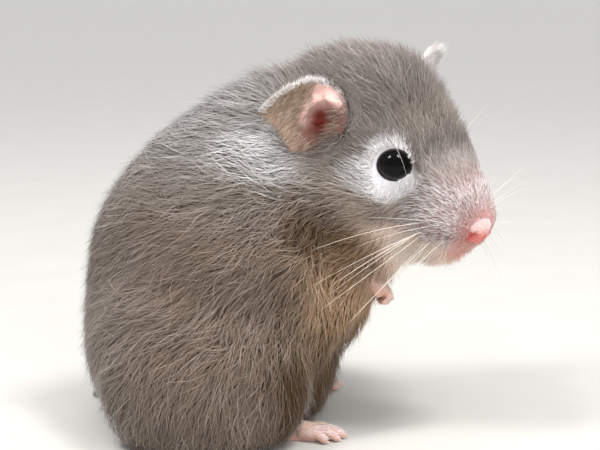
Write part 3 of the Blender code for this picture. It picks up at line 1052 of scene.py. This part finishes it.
def lie(points, normals):
    """The way the hair points, from its root: back over head and body, down the flanks."""
    head = in_head(points)
    fall = np.radians(76 - 68 * np.clip((points[:, 2] - 8) / 47, 0, 1) ** 0.8)
    fall += np.radians(14) * ramp(-4, 12, points[:, 0]) * ramp(34, 20, points[:, 2])
    level = np.cross([0.0, 0.0, 1.0], normals)
    level = level * (normals[:, 1] / np.hypot(normals[:, 1], 0.25))[:, None]
    level = unit(level + [-0.4, 0, 0])
    body = level * np.cos(fall)[:, None] - np.sin(fall)[:, None] * [0.0, 0.0, 1.0]
    back, up = -HEAD_AXES[0], HEAD_AXES[2]
    from_nose = head - NOSE_IN_HEAD
    reach = span(from_nose)
    face = np.tile(back, (len(points), 1)) - up * (0.35 * ramp(4, -4, head[:, 2]))[:, None]
    face = blend(face, unit(from_nose) @ HEAD_AXES, 0.8 * ramp(11, 4, reach))
    flow = blend(body, face, head_share(points))
    for side in SIDES.values():
        off = off_eye_axis(points, side)
        gap = points - eye_centre(side)
        radial = unit(gap - dot(gap, eye_axis(side))[:, None] * eye_axis(side))
        flow = flow + radial * (1.35 * ramp(6.2, 3.4, off))[:, None]
    for ear in EARS.values():
        gap = points - ear.at
        reach = span(gap)
        toward = np.minimum(dot(flow, unit(gap)), 0) * 1.25 * ramp(10.5, 6.5, reach)
        flow = flow - unit(gap) * (toward * (dot(gap, ear.opens) > -1))[:, None]
    flow = flow - normals * dot(flow, normals)[:, None]
    return unit(flow)


def hair_length(points):
    head = in_head(points)
    on_head = np.interp(
        head[:, 0], [-12, -4, 4, 9, 13, 17, 20], [8.0, 6.2, 4.4, 3.4, 2.5, 1.9, 1.3]
    )
    on_head = blend(on_head, 5.0, ramp(-8, -11, head[:, 2]) * ramp(8, 2, head[:, 0]))
    length = blend(11.0, on_head, head_share(points))
    for side in SIDES.values():
        reach = span(points - wrist(side))
        length = np.minimum(length, 2.2 + 1.2 * np.maximum(reach - 1.5, 0))
    length = np.minimum(length, 3.2 + 2.0 * np.maximum(tail_distance(points) - 1.5, 0))
    length = np.minimum(length, 0.9 + 0.75 * np.maximum(nearest_eye(points) - 3.1, 0))
    for ear in EARS.values():
        length = np.minimum(length, 2.2 + np.maximum(span(points - ear.at) - 6.0, 0))
    return length


def hair_width(length):
    return np.interp(length, [0.8, 3.0, 6.0, 11.0], [0.07, 0.09, 0.11, 0.13])


def bare(points):
    """True where no hair grows: eyes, nose pad, the cups of the ears and the flats that bear."""
    gap = (in_head(points) - NOSE_IN_HEAD - NOSE_LIFT) / (NOSE_RADII * 1.08)
    none = dot(gap, gap) < 1
    none |= nearest_eye(points) < 3.25
    for ear in EARS.values():
        o, a = ear.measure(points)
        cup = (np.hypot(o - 0.2, a - 0.9) < 5.0) & ((a > 2.2) | (o > -1.0))
        cup |= np.hypot(o, a) < 2.6
        cup &= dot(points - ear.at, ear.side_way) > -5
        none |= cup & (dot(points - ear.at, ear.opens) > -0.8)
    return none | (points[:, 2] < LOWEST_ROOT)


def scattered(random, a, b, c, chosen):
    """A random place on each chosen triangle."""
    u, v = random.random((2, len(chosen), 1))
    over = u + v > 1
    u, v = np.where(over, 1 - u, u), np.where(over, 1 - v, v)
    return a[chosen] + (b - a)[chosen] * u + (c - a)[chosen] * v


def spread_roots(random):
    """Even random places on the coat's outline, closer where the hair is short and fine."""
    corners = []
    for face in TIP_FACES:
        corners.append((face[0], face[1], face[2]))
        if len(face) == 4:
            corners.append((face[0], face[2], face[3]))
    corners = np.array(corners)
    a, b, c = (TIPS[corners[:, i]] for i in range(3))
    area = span(np.cross(b - a, c - a)) / 2
    middle = (a + b + c) / 3
    length = hair_length(middle)
    density = np.minimum(COVER / (length * hair_width(length)), MOST_HAIRS) * ~bare(middle)
    expected = np.cumsum(area * density)
    count = int(expected[-1])
    drawn = (np.arange(count) + random.random(count)) * expected[-1] / count
    chosen = np.minimum(np.searchsorted(expected, drawn), len(corners) - 1)
    places = scattered(random, a, b, c, chosen)
    places = places[~bare(places)]
    return places[random.permutation(len(places))]


def on_outline(points):
    """The nearest points of the coat's outline, and its normals there."""
    places, normals = np.empty_like(points), np.empty_like(points)
    for i, point in enumerate(points.tolist()):
        place, normal, _, _ = TIP_TREE.find_nearest(point)
        places[i] = place
        normals[i] = normal
    return places, normals


def turned(vectors, axes, angles):
    """Vectors turned about unit axes that are square to them."""
    angles = angles[:, None]
    return vectors * np.cos(angles) + np.cross(axes, vectors) * np.sin(angles)


def trace(places, lengths, swerve, joints):
    """Follows the lie of the coat from each place: the points and normals of every joint."""
    spots, normals = on_outline(places)
    all_spots, all_normals = [spots], [normals]
    for step in range(joints):
        way = turned(lie(spots, normals), normals, swerve * (0.5 + 0.5 * step))
        spots, normals = on_outline(spots + way * (lengths / joints)[:, None])
        all_spots.append(spots)
        all_normals.append(normals)
    return np.stack(all_spots, 1), np.stack(all_normals, 1)


def comb(places, joints, random):
    """Bends hairs from their roots in the hide up to the coat's surface, gathered in wisps."""
    count = len(places)
    length = hair_length(places)
    lengths = length * random.uniform(0.72, 1.18, count)
    loose = ramp(1.5, 8, length)
    swerve = random.normal(0, 1, count) * (0.19 + 0.13 * loose)
    swerve += 0.22 * mottle(places, size=5, seed=31) * loose
    spots, normals = trace(places, lengths, swerve, joints)
    share = np.linspace(0, 1, joints + 1)
    root = coat_depth(places) + 0.3
    pit = eye_pit(spots.reshape(-1, 3)).reshape(count, -1)
    tip = random.uniform(0.0, 0.55, count) ** 1.3 * root
    rise = fluff(places)
    upright = ramp(0.1, 0.35, rise)
    stray = random.random(count) < 0.08 + 0.12 * loose + 0.35 * upright
    stand = random.uniform(0.15, 1.0, count) ** 1.3 * (0.25 + 1.2 * loose + 0.8 * upright)
    tip = np.where(stray, -stand, tip) - rise * random.uniform(0.1, 1.2, count)
    bend = np.where(stray, 0.9, 1.7)[:, None]
    depth = tip[:, None] + (root - tip)[:, None] * (1 - share) ** bend
    depth = np.maximum(depth, pit * (1 - 0.15 * share) - 6 * ramp(0.5, 0.0, pit))
    paths = spots - normals * depth[:, :, None]
    wisps = np.arange(0, count, WISP_EVERY)
    tree = KDTree(len(wisps))
    for i, place in enumerate(places[wisps].tolist()):
        tree.insert(place, i)
    tree.balance()
    leader = wisps[np.array([tree.find(place)[1] for place in places.tolist()])]
    pull = (0.4 * share**1.4)[None, :] * (0.35 + 0.65 * loose)[:, None]
    pull = pull * random.uniform(0.4, 1.1, count)[:, None]
    paths = paths + (paths[leader] - paths) * np.clip(pull, 0, 0.9)[:, :, None]
    paths[:, :, 2] = np.maximum(paths[:, :, 2], LOWEST_HAIR)
    return paths, normals, leader, loose


def fluff(points):
    """How far the tips stand out past the coat's outline: on the crown, brow, nape and chin."""
    head = in_head(points)
    crown = ramp(6, 11, head[:, 2]) * ramp(11, 5, head[:, 0]) * head_share(points)
    brows = mirrored_patch(head, (7.5, 5.0, 7.0), (7, 5.5, 5))
    nape = patch(points, NAPE_AT, NAPE_RADII)
    chin = ramp(-7.5, -9.5, head[:, 2]) * ramp(3, 7, head[:, 0]) * head_share(points)
    return 0.05 + 0.3 * crown + 0.3 * brows * (nearest_eye(points) > 4) + 0.3 * nape + 0.25 * chin


def clear_of_ears(paths):
    """False for hairs that would hang in front of an ear's cup or through its petal."""
    clear = np.ones(len(paths), bool)
    flat = paths.reshape(-1, 3)
    for ear in EARS.values():
        o, a = (part.reshape(paths.shape[:2]) for part in ear.measure(flat))
        h = dot(paths - ear.at, ear.opens)
        for run, rise, up, room in ((2.8, 3.4, 2.4, 3.7), (2.2, 2.6, -0.6, 2.7)):
            cup = ear.at + ear.opens * rise + ear.side_way * run + ear.across * up
            away = span(flat - cup).reshape(paths.shape[:2])
            clear &= ~(away < room).any(1)
        on_petal = (o > 0.5) & (o < 12.5) & (a > -5.5) & (a < 6.5)
        clear &= ~((h > -1.0) & (h < 2.5) & on_petal).any(1)
    return clear


def hair_bodies(paths, normals, widths):
    """Corner points of three-sided tapers along the paths: (hairs, 3 * joints + 1, 3)."""
    count, rings, _ = paths.shape
    joints = rings - 1
    along = unit(np.diff(paths, axis=1))
    ring_way = np.concatenate([along[:, :1], unit(along[:, 1:] + along[:, :-1])], 1)
    taper = (0.75, 1.0, 0.85) if joints > 2 else (0.85, 1.0)
    corners, facing = [], []
    for j in range(joints):
        across = unit(np.cross(ring_way[:, j], normals[:, j]))
        over = np.cross(across, ring_way[:, j])
        half = (widths * taper[j] / 2)[:, None]
        for sideways, upward in ((1, -0.3), (-1, -0.3), (0, 0.75)):
            offset = across * sideways + over * upward
            corners.append(paths[:, j] + offset * half)
            facing.append(unit(normals[:, j] * SOFT_SHADING + offset * (1 - SOFT_SHADING)))
    corners.append(paths[:, joints])
    facing.append(normals[:, joints])
    return np.stack(corners, 1), np.stack(facing, 1)


def hair_faces(joints):
    """One hair's faces by corner number: its root, its sides ring by ring, and its tip."""
    sides = ((0, 1), (1, 2), (2, 0))
    last = 3 * (joints - 1)
    faces = [(2, 1, 0)]
    for low in range(0, last, 3):
        faces += [(low + k, low + m, low + m + 3, low + k + 3) for k, m in sides]
    return faces + [(last + k, last + m, 3 * joints) for k, m in sides]


def along_hair(joints):
    """How far from root to tip each corner of a hair lies."""
    return np.append(np.repeat(np.arange(joints), 3), joints) / joints


def mesh_of_hairs(name, families):
    """One mesh from families of hairs: (corners, normals, colours, root map places, joints)."""
    points, shading, colours, uvs, loops, starts = [], [], [], [], [], []
    base = corner_count = 0
    for corners, facing, tones, places, joints in families:
        count, per_hair, _ = corners.shape
        points.append(corners.reshape(-1, 3))
        shading.append(facing.reshape(-1, 3))
        colours.append(tones.reshape(-1, 3))
        faces = hair_faces(joints)
        flat = np.concatenate([np.array(face) for face in faces])
        loops.append((base + np.arange(count)[:, None] * per_hair + flat).ravel())
        sizes = np.tile([len(face) for face in faces], count)
        starts.append(corner_count + np.concatenate([[0], np.cumsum(sizes)[:-1]]))
        along = along_hair(joints) - 0.5
        side = np.append(np.tile([-0.5, 0.5, 0.0], joints), 0.0)
        shift = np.stack([side[flat], along[flat]], 1) * BAKE_PATCH
        uvs.append((places[:, None, :] + shift[None]).reshape(-1, 2))
        base += count * per_hair
        corner_count += count * len(flat)
    points, loops = np.concatenate(points), np.concatenate(loops)
    starts = np.concatenate(starts)
    mesh = bpy.data.meshes.new(name)
    mesh.vertices.add(len(points))
    move_points(mesh, points)
    mesh.loops.add(len(loops))
    mesh.loops.foreach_set("vertex_index", loops.astype(np.int32))
    mesh.polygons.add(len(starts))
    mesh.polygons.foreach_set("loop_start", starts.astype(np.int32))
    mesh.update(calc_edges=True)
    mesh.uv_layers.new(name="OFBake").data.foreach_set("uv", np.concatenate(uvs).ravel())
    store_colours(mesh, "hair_colour", np.concatenate(colours))
    mesh.shade_smooth()
    mesh.normals_split_custom_set_from_vertices(np.concatenate(shading))
    return mesh


def root_map(places):
    """Where each root lies on the hide's unwrap."""
    mesh = skin.data
    points, _, faces = read_mesh(mesh)
    tree = BVHTree.FromPolygons(points.tolist(), faces)
    uv = np.zeros(len(mesh.loops) * 2)
    mesh.uv_layers["OFBake"].data.foreach_get("uv", uv)
    uv = uv.reshape(-1, 3, 2)
    near, face_numbers = np.empty_like(places), np.empty(len(places), int)
    for i, place in enumerate(places.tolist()):
        spot, _, number, _ = tree.find_nearest(place)
        near[i] = spot
        face_numbers[i] = number
    a, b, c = (points[np.array(faces)[face_numbers, i]] for i in range(3))
    ab, ac, ap = b - a, c - a, near - a
    d00, d01, d11 = dot(ab, ab), dot(ab, ac), dot(ac, ac)
    d20, d21 = dot(ap, ab), dot(ap, ac)
    scale = np.maximum(d00 * d11 - d01 * d01, 1e-12)
    v = (d11 * d20 - d01 * d21) / scale
    w = (d00 * d21 - d01 * d20) / scale
    shares = np.clip(np.stack([1 - v - w, v, w], 1), 0, 1)
    return (uv[face_numbers] * shares[:, :, None]).sum(1)


def hair_tones(roots, shown, leader, loose, joints, random):
    """Colours of every corner: dusky at the root, the coat's colour with its painted light and
    shade, then a paler tip.
    """
    count = len(roots)
    colour = coat_colours_and_painted_light(shown + random.normal(0, 1, (count, 3)) * (0.35 + 0.7 * loose)[:, None])
    lock = random.normal(1.0, 0.05, count)[leader] * loose + (1 - loose)
    own = random.normal(1.0, 0.09, count)
    broad = 1 + 0.07 * mottle(roots, size=3.0, seed=12) + 0.08 * mottle(roots, size=9.0, seed=13)
    tone = colour * (lock * own * broad)[:, None]
    pale = (random.random(count) < 0.2)[:, None]
    tone = np.where(pale, tone * 1.3 + PALE * 0.1, tone)
    head = in_head(roots)
    speckled = 0.8 * ramp(9, 13, head[:, 0]) * ramp(4.6, 1.4, head[:, 2]) * head_share(roots)
    from_nose = span(head - NOSE_IN_HEAD)
    speckled = speckled * ramp(-9.5, -6.5, head[:, 2]) * (0.3 + 0.7 * ramp(3.0, 7.0, from_nose))
    dusky = random.random(count) < 0.45
    tone = blend(tone, np.where(dusky[:, None], SLATE * [1.25, 0.95, 0.95], WHITE), speckled * 0.75)
    share = along_hair(joints)
    light = 0.84 + 0.27 * share**0.8
    warm = linear("#8a7868") / linear("#8a8078")
    tint = 1 + (warm - 1) * (1 - share)[:, None] * 0.5
    return tone[:, None, :] * light[None, :, None] * tint[None]


def grow_coat():
    random = np.random.default_rng(COAT_SEED)
    roots = spread_roots(random)
    long = hair_length(roots) > LONG_HAIR
    families = []
    for chosen, joints in ((roots[long], LONG_JOINTS), (roots[~long], SHORT_JOINTS)):
        paths, normals, leader, loose = comb(chosen, joints, random)
        widths = hair_width(hair_length(chosen)) * random.uniform(0.75, 1.2, len(chosen))
        corners, facing = hair_bodies(paths, normals, widths)
        tones = hair_tones(chosen, paths[:, joints - 1], leader, loose, joints, random)
        keep = clear_of_ears(paths)
        places = root_map(paths[keep, 0])
        families.append((corners[keep], facing[keep], tones[keep], places, joints))
    return families


# Hamster hair: fine, dry and matt, with a soft bloom where light grazes it, and a slight change
# of shade every 0.7 mm or so along each hair.
def hair_material():
    material, tree = new_material("soft hamster hair")
    tinted, _ = flecked(tree, "hair_colour", scale=1400.0, detail=2.0, darkest=0.9)
    shader = add_node(
        tree, "ShaderNodeBsdfPrincipled",
        {"Base Color": tinted, "Roughness": 0.65, "Specular IOR Level": 0.25,
         "Sheen Weight": 0.25, "Sheen Roughness": 0.4},
    )
    add_node(tree, "ShaderNodeOutputMaterial", {"Surface": shader.outputs[0]})
    return material


coat_hair = hair_material()


def add_hairs(name, families):
    mesh = mesh_of_hairs(name, families)
    mesh.materials.append(coat_hair)
    piece = new_piece(name, mesh)
    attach(piece, "root")


families = grow_coat()
for number in range(COAT_PIECES):
    own = []
    for *parts, joints in families:
        own.append([part[number::COAT_PIECES] for part in parts] + [joints])
    add_hairs(f"coat_{number + 1}", own)
print("coat", [len(family[0]) for family in families], "hairs")

# --------------------------------------
# The ears' own hair: silky down on the inner face, shorter hair on the back and a pale fringe, up
# to 2.5 mm long, on the upper rim. It is rooted in the petals and lies along them. Tufts before
# the ear and a low crest over it lead into the coat of the head.
# --------------------------------------

EAR_HAIRS = [("down", 1700), ("back", 1800), ("fringe", 3000), ("front", 2600), ("crest", 700)]
DOWN = linear("#b9a491")
DOWN_DARK = linear("#7c6554")
FRINGE = linear("#f0edeb")
TUFT = linear("#80695e")


def ear_paths(ear, o, a, share, ways, lengths, above, lean):
    """Short hairs from places on the petal: they leave its face at `above` and rise by `lean`."""
    steps = np.linspace(0, 1, 3)
    paths = []
    for step in steps:
        o_at, a_at = o + ways[:, 0] * lengths * step, a + ways[:, 1] * lengths * step
        height = ear_height(o, a, share, ear.hollow) + above + lean * lengths * step**1.5
        paths.append(ear.place(o_at, a_at, height))
    return np.stack(paths, 1)


def grow_ear_hair(word, random):
    ear = EARS[word]
    rim = ear_rim(ear)
    groups = []
    for kind, count in EAR_HAIRS:
        place = rim[random.integers(0, len(rim), count)]
        share = np.sqrt(random.random(count)) * 0.98
        if kind == "fringe":
            # On the left ear the pale fringe spreads over the petal: painted light.
            share = 1 - random.random(count) * (0.6 if ear.side > 0 else 0.12)
        o, a = (place * share[:, None]).T
        turn = random.normal(0, 0.22, count)
        if kind == "fringe":
            keep = (place[:, 0] > random.uniform(-5, 1, count)) & (place[:, 1] > 0.2)
            keep |= (ear.side > 0) & (place[:, 0] > 4)
            ways = unit(place * [0.55, 1.0] + [3.5, 0.5])
            lengths = random.uniform(0.5, 1.5, count) * (1.7 if ear.side > 0 else 1)
            above, lean = 0.0, 0.45
            tones = np.where(random.random(count)[:, None] < 0.75, FRINGE, DOWN)
        elif kind == "front":
            keep = (place[:, 0] < -0.5) & (place[:, 1] < 3.0)
            share = 1 - random.random(count) * 0.3
            o, a = (place * share[:, None]).T
            ways = np.tile([0.95, -0.3], (count, 1))
            lengths, above, lean = random.uniform(1.2, 3.6, count), 0.8, 0.14
            pale = random.random(count) < 0.2
            tones = np.where(pale[:, None], DOWN, TUFT)
        elif kind == "crest":
            keep = place[:, 0] < -0.2
            share = random.uniform(0.98, 1.12, count)
            o, a = (place * share[:, None]).T
            ways = np.tile([0.75, 0.4], (count, 1))
            lengths, above, lean = random.uniform(1.0, 2.2, count), 0.6, 0.15
            tones = CROWN * random.uniform(0.8, 1.7, count)[:, None]
        elif kind == "back":
            keep = (o > -0.5) & (share < 0.88) & (path_distance(o, a, ANTIHELIX) > 2.0)
            ways = np.tile([0.9, 0.35], (count, 1))
            lengths = random.uniform(0.7, 1.2, count) * (1 + 0.8 * ramp(6, 1, o))
            above, lean = -EAR_THICKNESS - 0.02, -0.12
            tones = blend(np.tile(TAUPE * 1.2, (count, 1)), EAR_EDGE, ramp(3, 8, o))
        else:
            keep = (np.hypot(o, a) > 2.2) & ((o > 2.2) | (a < -1.2))
            ways = np.tile([0.78, -0.62], (count, 1))
            lengths, above, lean = random.uniform(0.9, 1.8, count), 0.0, 0.14
            pale = random.random(count) < 0.6
            tones = np.where(pale[:, None], DOWN, DOWN_DARK)
            # The left ear's down takes the pale fringe colour: painted light.
            if ear.side > 0:
                tones = np.tile(FRINGE, (count, 1))
        ways = np.stack(
            [ways[:, 0] * np.cos(turn) - ways[:, 1] * np.sin(turn),
             ways[:, 0] * np.sin(turn) + ways[:, 1] * np.cos(turn)], 1,
        )
        paths = ear_paths(ear, o, a, share, ways, lengths, above, lean)
        facing = np.broadcast_to(ear.opens * (-1 if kind == "back" else 1), paths.shape)
        if kind == "fringe":
            rimward = unit(place[:, :1] * ear.out + place[:, 1:] * ear.across)
            facing = np.broadcast_to(unit(rimward + ear.opens * 0.6)[:, None], paths.shape)
        corners, shading = hair_bodies(paths, facing, random.uniform(0.045, 0.07, count))
        tones = tones * random.uniform(0.85, 1.1, count)[:, None]
        tones = np.broadcast_to(tones[:, None], corners.shape)
        groups.append((corners[keep], shading[keep], tones[keep], root_map(paths[keep, 0]), 2))
    return groups


random = np.random.default_rng(COAT_SEED + 1)
add_hairs("ear_hair", sum((grow_ear_hair(word, random) for word in SIDES), []))

# --------------------------------------
# The down on the backs of hands and feet, and over the nose pad's upper edge: pale hairs about
# 0.8 mm long that lie along the skin where the coat leaves it bare. Soles and palms have none.
# --------------------------------------

PAW_HAIR_DENSITY = 20.0
PAW_DOWN = linear("#d9c3b4")


def grow_paw_hair(random):
    points, _, faces = read_mesh(skin.data)
    corners = np.array(faces)
    middle = points[corners].mean(1)
    a, b, c = (points[corners[:, i]] for i in range(3))
    slope = np.cross(b - a, c - a)
    area = span(slope) / 2
    upper = slope / np.maximum(area * 2, 1e-9)[:, None]
    ways = np.zeros_like(middle)
    for word, side in SIDES.items():
        foot_way = np.array([math.cos(FOOT_SPLAY), math.sin(FOOT_SPLAY), 0.0])
        for node, ahead, top in (
            ("forepaw_" + word, PAW_WAY, [0.5, 0, 0.87]),
            ("hind_foot_" + word, foot_way, [0, 0, 1.0]),
        ):
            low, high = node_corners(node)
            inside = np.all((middle > low - 1.5) & (middle < high + 1.5), axis=1)
            ways[inside & (dot(upper, np.array(top)) > 0.15)] = unit(ahead * [1, side, 1])
    head = in_head(middle) - NOSE_IN_HEAD - NOSE_LIFT
    gap = head / (NOSE_RADII * 1.15)
    ways[(dot(gap, gap) < 1) & (head[:, 2] > 0.6) & (dot(upper, HEAD_AXES[2]) > 0)] = -HEAD_AXES[0]
    chosen = np.flatnonzero(dot(ways, ways) > 0)
    spots, outward = on_outline(middle[chosen])
    chosen = chosen[dot(middle[chosen] - spots, outward) > -0.4]
    expected = np.cumsum(area[chosen] * PAW_HAIR_DENSITY)
    count = int(expected[-1])
    pick = chosen[np.searchsorted(expected, np.sort(random.random(count)) * expected[-1])]
    roots = scattered(random, a, b, c, pick)
    up = upper[pick]
    way = ways[pick] + random.normal(0, 0.22, (count, 3))
    way = unit(way - up * dot(way, up)[:, None])
    length = random.uniform(0.5, 1.1, count)[:, None]
    lifted = ((0.0, -0.06), (0.5, 0.1), (1.0, 0.16))
    paths = np.stack([roots + way * length * run + up * rise for run, rise in lifted], 1)
    facing = np.repeat(up[:, None], 3, 1)
    corners, shading = hair_bodies(paths, facing, random.uniform(0.05, 0.075, count))
    muzzle = (in_head(roots)[:, 0] > 12)[:, None]
    tones = np.where(muzzle, ROSE_PALE * 1.1, PAW_DOWN) * random.uniform(0.85, 1.1, count)[:, None]
    return corners, shading, np.repeat(tones[:, None], corners.shape[1], 1), root_map(roots), 2


add_hairs("paw_hair", [grow_paw_hair(random)])

# --------------------------------------
# Whiskers. Long, stiff, tapering hairs in rows on the pads beside the nose, about 0.12 mm thick
# and up to 23 mm long, with a few over the eye and on the cheek.
# --------------------------------------

# Where each rises on the head, which way it points, and how long it is, on the right side.
WHISKERS = [
    ((13.6, 7.0, -4.6), (-0.46, 0.87, -0.10), 21), ((14.6, 6.8, -5.2), (-0.36, 0.86, -0.30), 22),
    ((15.4, 6.6, -4.4), (-0.25, 0.92, 0.05), 17), ((14.2, 6.8, -6.2), (-0.23, 0.82, -0.53), 23),
    ((15.6, 6.2, -6.0), (-0.21, 0.81, -0.55), 20), ((14.8, 6.4, -7.2), (-0.12, 0.77, -0.63), 20),
    ((16.4, 5.8, -6.8), (-0.18, 0.80, -0.57), 17), ((15.6, 6.0, -7.8), (-0.06, 0.72, -0.69), 12),
    ((17.0, 5.4, -5.4), (0.05, 0.95, -0.10), 10), ((17.2, 5.2, -7.4), (0.12, 0.62, -0.78), 8),
    ((17.8, 4.6, -6.6), (0.30, 0.90, -0.35), 6), ((16.6, 5.6, -3.6), (0.05, 0.90, 0.45), 9),
    ((15.8, 6.0, -3.0), (-0.20, 0.75, 0.62), 11), ((17.6, 4.6, -8.0), (0.44, 0.36, -0.83), 5),
    ((14.0, 7.0, -5.6), (-0.34, 0.86, -0.42), 18), ((13.2, 7.2, -6.8), (-0.30, 0.80, -0.58), 19),
    ((16.2, 5.8, -8.2), (0.02, 0.66, -0.76), 9), ((15.0, 6.4, -3.8), (-0.34, 0.88, 0.22), 14),
    ((13.8, 7.0, -6.0), (-0.40, 0.84, -0.46), 16), ((15.2, 6.2, -7.0), (-0.05, 0.80, -0.60), 15),
    ((8.6, 9.2, 8.4), (-0.10, 0.80, 0.58), 8), ((6.2, 9.5, 6.9), (0.93, 0.12, -0.5), 6),
]
WHISKER_RADIUS = 0.052
WHISKER_STEPS = 12


def add_taper(shape, rings, end):
    """A closed horn from rings of corners, root first, that run out to a point."""
    rings = [[shape.verts.new(corner * MM) for corner in ring] for ring in rings]
    point = shape.verts.new(end * MM)
    shape.faces.new(rings[0])
    sides = [(k, (k + 1) % len(rings[0])) for k in range(len(rings[0]))]
    for low, high in zip(rings, rings[1:]):
        for k, m in sides:
            shape.faces.new((low[k], high[k], high[m], low[m]))
    for k, m in sides:
        shape.faces.new((rings[-1][k], point, rings[-1][m]))


def make_whiskers(word, finish, random):
    side = SIDES[word]
    shape = bmesh.new()
    for root, way, length in WHISKERS:
        at = from_head(np.array(root) * [1, side, 1])
        skin_at, out, _, _ = TIP_TREE.find_nearest(at.tolist())
        at = np.array(skin_at) - np.array(out) * 1.0
        way = unit(head_way(np.array(way) * [1, side, 1]) + random.normal(0, 0.04, 3))
        way = unit(way + np.array(out) * 0.25)
        droop = np.array([0, 0, -1.0]) * random.uniform(0.05, 0.16)
        back = -HEAD_AXES[0] * random.uniform(0.0, 0.12)
        side_a = unit(np.cross(way, [0.3, 0.2, 0.9]))
        side_b = np.cross(way, side_a)
        turns = [math.radians(90 * k) for k in range(4)]
        rings = []
        for step in range(WHISKER_STEPS):
            t = step / WHISKER_STEPS
            middle = at + way * length * t + (droop + back) * length * t**2
            radius = WHISKER_RADIUS * (1 - 0.75 * t) * (0.42 + length / 36)
            around = [side_a * math.cos(u) + side_b * math.sin(u) for u in turns]
            rings.append([middle + corner * radius for corner in around])
        add_taper(shape, rings, at + way * length + (droop + back) * length)
    bmesh.ops.recalc_face_normals(shape, faces=shape.faces)
    piece = new_piece("whiskers_" + word, mesh_from(shape, "whiskers_" + word), finish)
    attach(piece, "root")


# Whisker horn: stiff, pale and slightly shiny, with a faint uneven tint every 4 to 5 mm.
whisker_horn = toned_material(
    "whisker horn", scale=220.0, dark="#d9c9b4", light="#f4ede2", gloss={"Roughness": 0.38}
)
for word in SIDES:
    make_whiskers(word, whisker_horn, random)

# --------------------------------------
# Claws. Small curved horn-coloured cones, one at the end of each digit and longer on the feet.
# --------------------------------------

CLAW_HEIGHT = 0.05


def make_claw(name, tip, way, radius, length, finish):
    shape = bmesh.new()
    down = np.array([0, 0, -1.0])
    across = unit(np.cross(way, down))
    over = np.cross(across, way)
    rings = []
    for t in (0.0, 0.35, 0.7, 0.92):
        middle = tip + way * length * t + down * length * 0.28 * t * t
        middle[2] = max(middle[2], radius * (1 - t) + CLAW_HEIGHT)
        size = radius * (1 - t) ** 0.6
        turns = np.linspace(0, 2 * math.pi, 8, endpoint=False)
        around = [across * math.cos(u) * 0.8 + over * math.sin(u) for u in turns]
        rings.append([middle + corner * size for corner in around])
    end = tip + way * length + down * length * 0.28
    end[2] = max(end[2], CLAW_HEIGHT)
    add_taper(shape, rings, end)
    bmesh.ops.recalc_face_normals(shape, faces=shape.faces)
    piece = new_piece(name, mesh_from(shape, name), finish)
    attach(piece, "root")


# Claw horn: smooth, pale pinkish and a little glossy, with darker clouds about 0.5 mm across.
claw_horn = toned_material(
    "claw horn", scale=1800.0, dark="#b79a8c", light="#ead6c8", gloss={"Roughness": 0.3}
)
for number, (word, limb, tip, way, radius, length) in enumerate(claw_lines):
    make_claw(f"claw_{limb}_{word}_{number + 1}", tip - way * 0.35, way, radius, length, claw_horn)

# --------------------------------------
# The setting: a plain pale floor, even studio light from before, above and behind with two soft
# lamps overhead, and a camera a little above the animal's shoulder.
# --------------------------------------

# Millimetres at the animal to one column of the frame, which is FRAME_WIDTH columns wide.
SCALE_AT_ANIMAL = 0.185
CAMERA_DISTANCE = 250.0
CAMERA_RISE = math.radians(10)
CAMERA_TARGET = np.array([2.6, 0.0, 36.0])
FRAME_WIDTH = 600
SENSOR_WIDTH = 36
FLOOR_HALF = 9.0
LAMP_AIM = (0, 0, 30)
LAMP_SIZE = (85, 130)


# Pale matt board: a painted sheet without gloss, with a faint cloudiness 17 mm across.
board = toned_material(
    "pale matt board", scale=60.0, dark="#bcb9b3", light="#c4c1bb", gloss={"Roughness": 0.8}
)
shape = bmesh.new()
bmesh.ops.create_grid(shape, x_segments=2, y_segments=2, size=FLOOR_HALF)
floor = new_piece("floor", mesh_from(shape, "floor"))
floor.data.materials.append(board)


def new_lamp(name, kind, strength, colour):
    lamp = bpy.data.lights.new(name, kind)
    lamp.energy = strength
    lamp.color = tuple(linear(colour))
    return lamp, new_piece(name, lamp)


def add_light(name, at, power, colour):
    """A soft light panel that faces the animal; its place and sides are in millimetres."""
    lamp, holder = new_lamp(name, "AREA", power, colour)
    lamp.shape = "RECTANGLE"
    lamp.size, lamp.size_y = (side * MM for side in LAMP_SIZE)
    holder.location = Vector(at) * MM
    aim = Vector(LAMP_AIM) * MM - holder.location
    holder.rotation_euler = aim.to_track_quat("-Z", "Y").to_euler()


def add_sun(name, at, softness, strength, colour):
    """Even light from this side, spread over an angle in degrees, that gives no glints."""
    lamp, holder = new_lamp(name, "SUN", strength, colour)
    lamp.angle = math.radians(softness)
    holder.rotation_euler = Vector(at).to_track_quat("Z", "Y").to_euler()
    holder.visible_glossy = False


def make_camera():
    lens = bpy.data.cameras.new("camera")
    lens.sensor_width = SENSOR_WIDTH
    lens.lens = SENSOR_WIDTH * CAMERA_DISTANCE / (FRAME_WIDTH * SCALE_AT_ANIMAL)
    lens.clip_start = 0.01
    camera = new_piece("camera", lens)
    back = np.array([0, -math.cos(CAMERA_RISE), math.sin(CAMERA_RISE)])
    camera.location = Vector((CAMERA_TARGET + back * CAMERA_DISTANCE) * MM)
    camera.rotation_euler = Vector(-back).to_track_quat("-Z", "Y").to_euler()
    bpy.context.scene.camera = camera


world = bpy.data.worlds.new("pale room")
world.use_nodes = True
sky = world.node_tree.nodes["Background"].inputs
sky["Color"].default_value = (*linear("#eef0f2"), 1)
sky["Strength"].default_value = 0.6
bpy.context.scene.world = world
add_sun("window", (-60, -90, 300), softness=80, strength=1.5, colour="#f4f8ff")
add_light("lamp_1", (-190, -100, 430), power=1.2, colour="#ffffff")
add_light("lamp_2", (160, -100, 430), power=1.2, colour="#ffffff")
add_sun("front", (200, -420, 160), softness=50, strength=1.5, colour="#fdfcff")
add_sun("rear", (90, 260, 160), softness=90, strength=0.7, colour="#ffffff")
make_camera()
bpy.context.scene.view_settings.view_transform = "Standard"
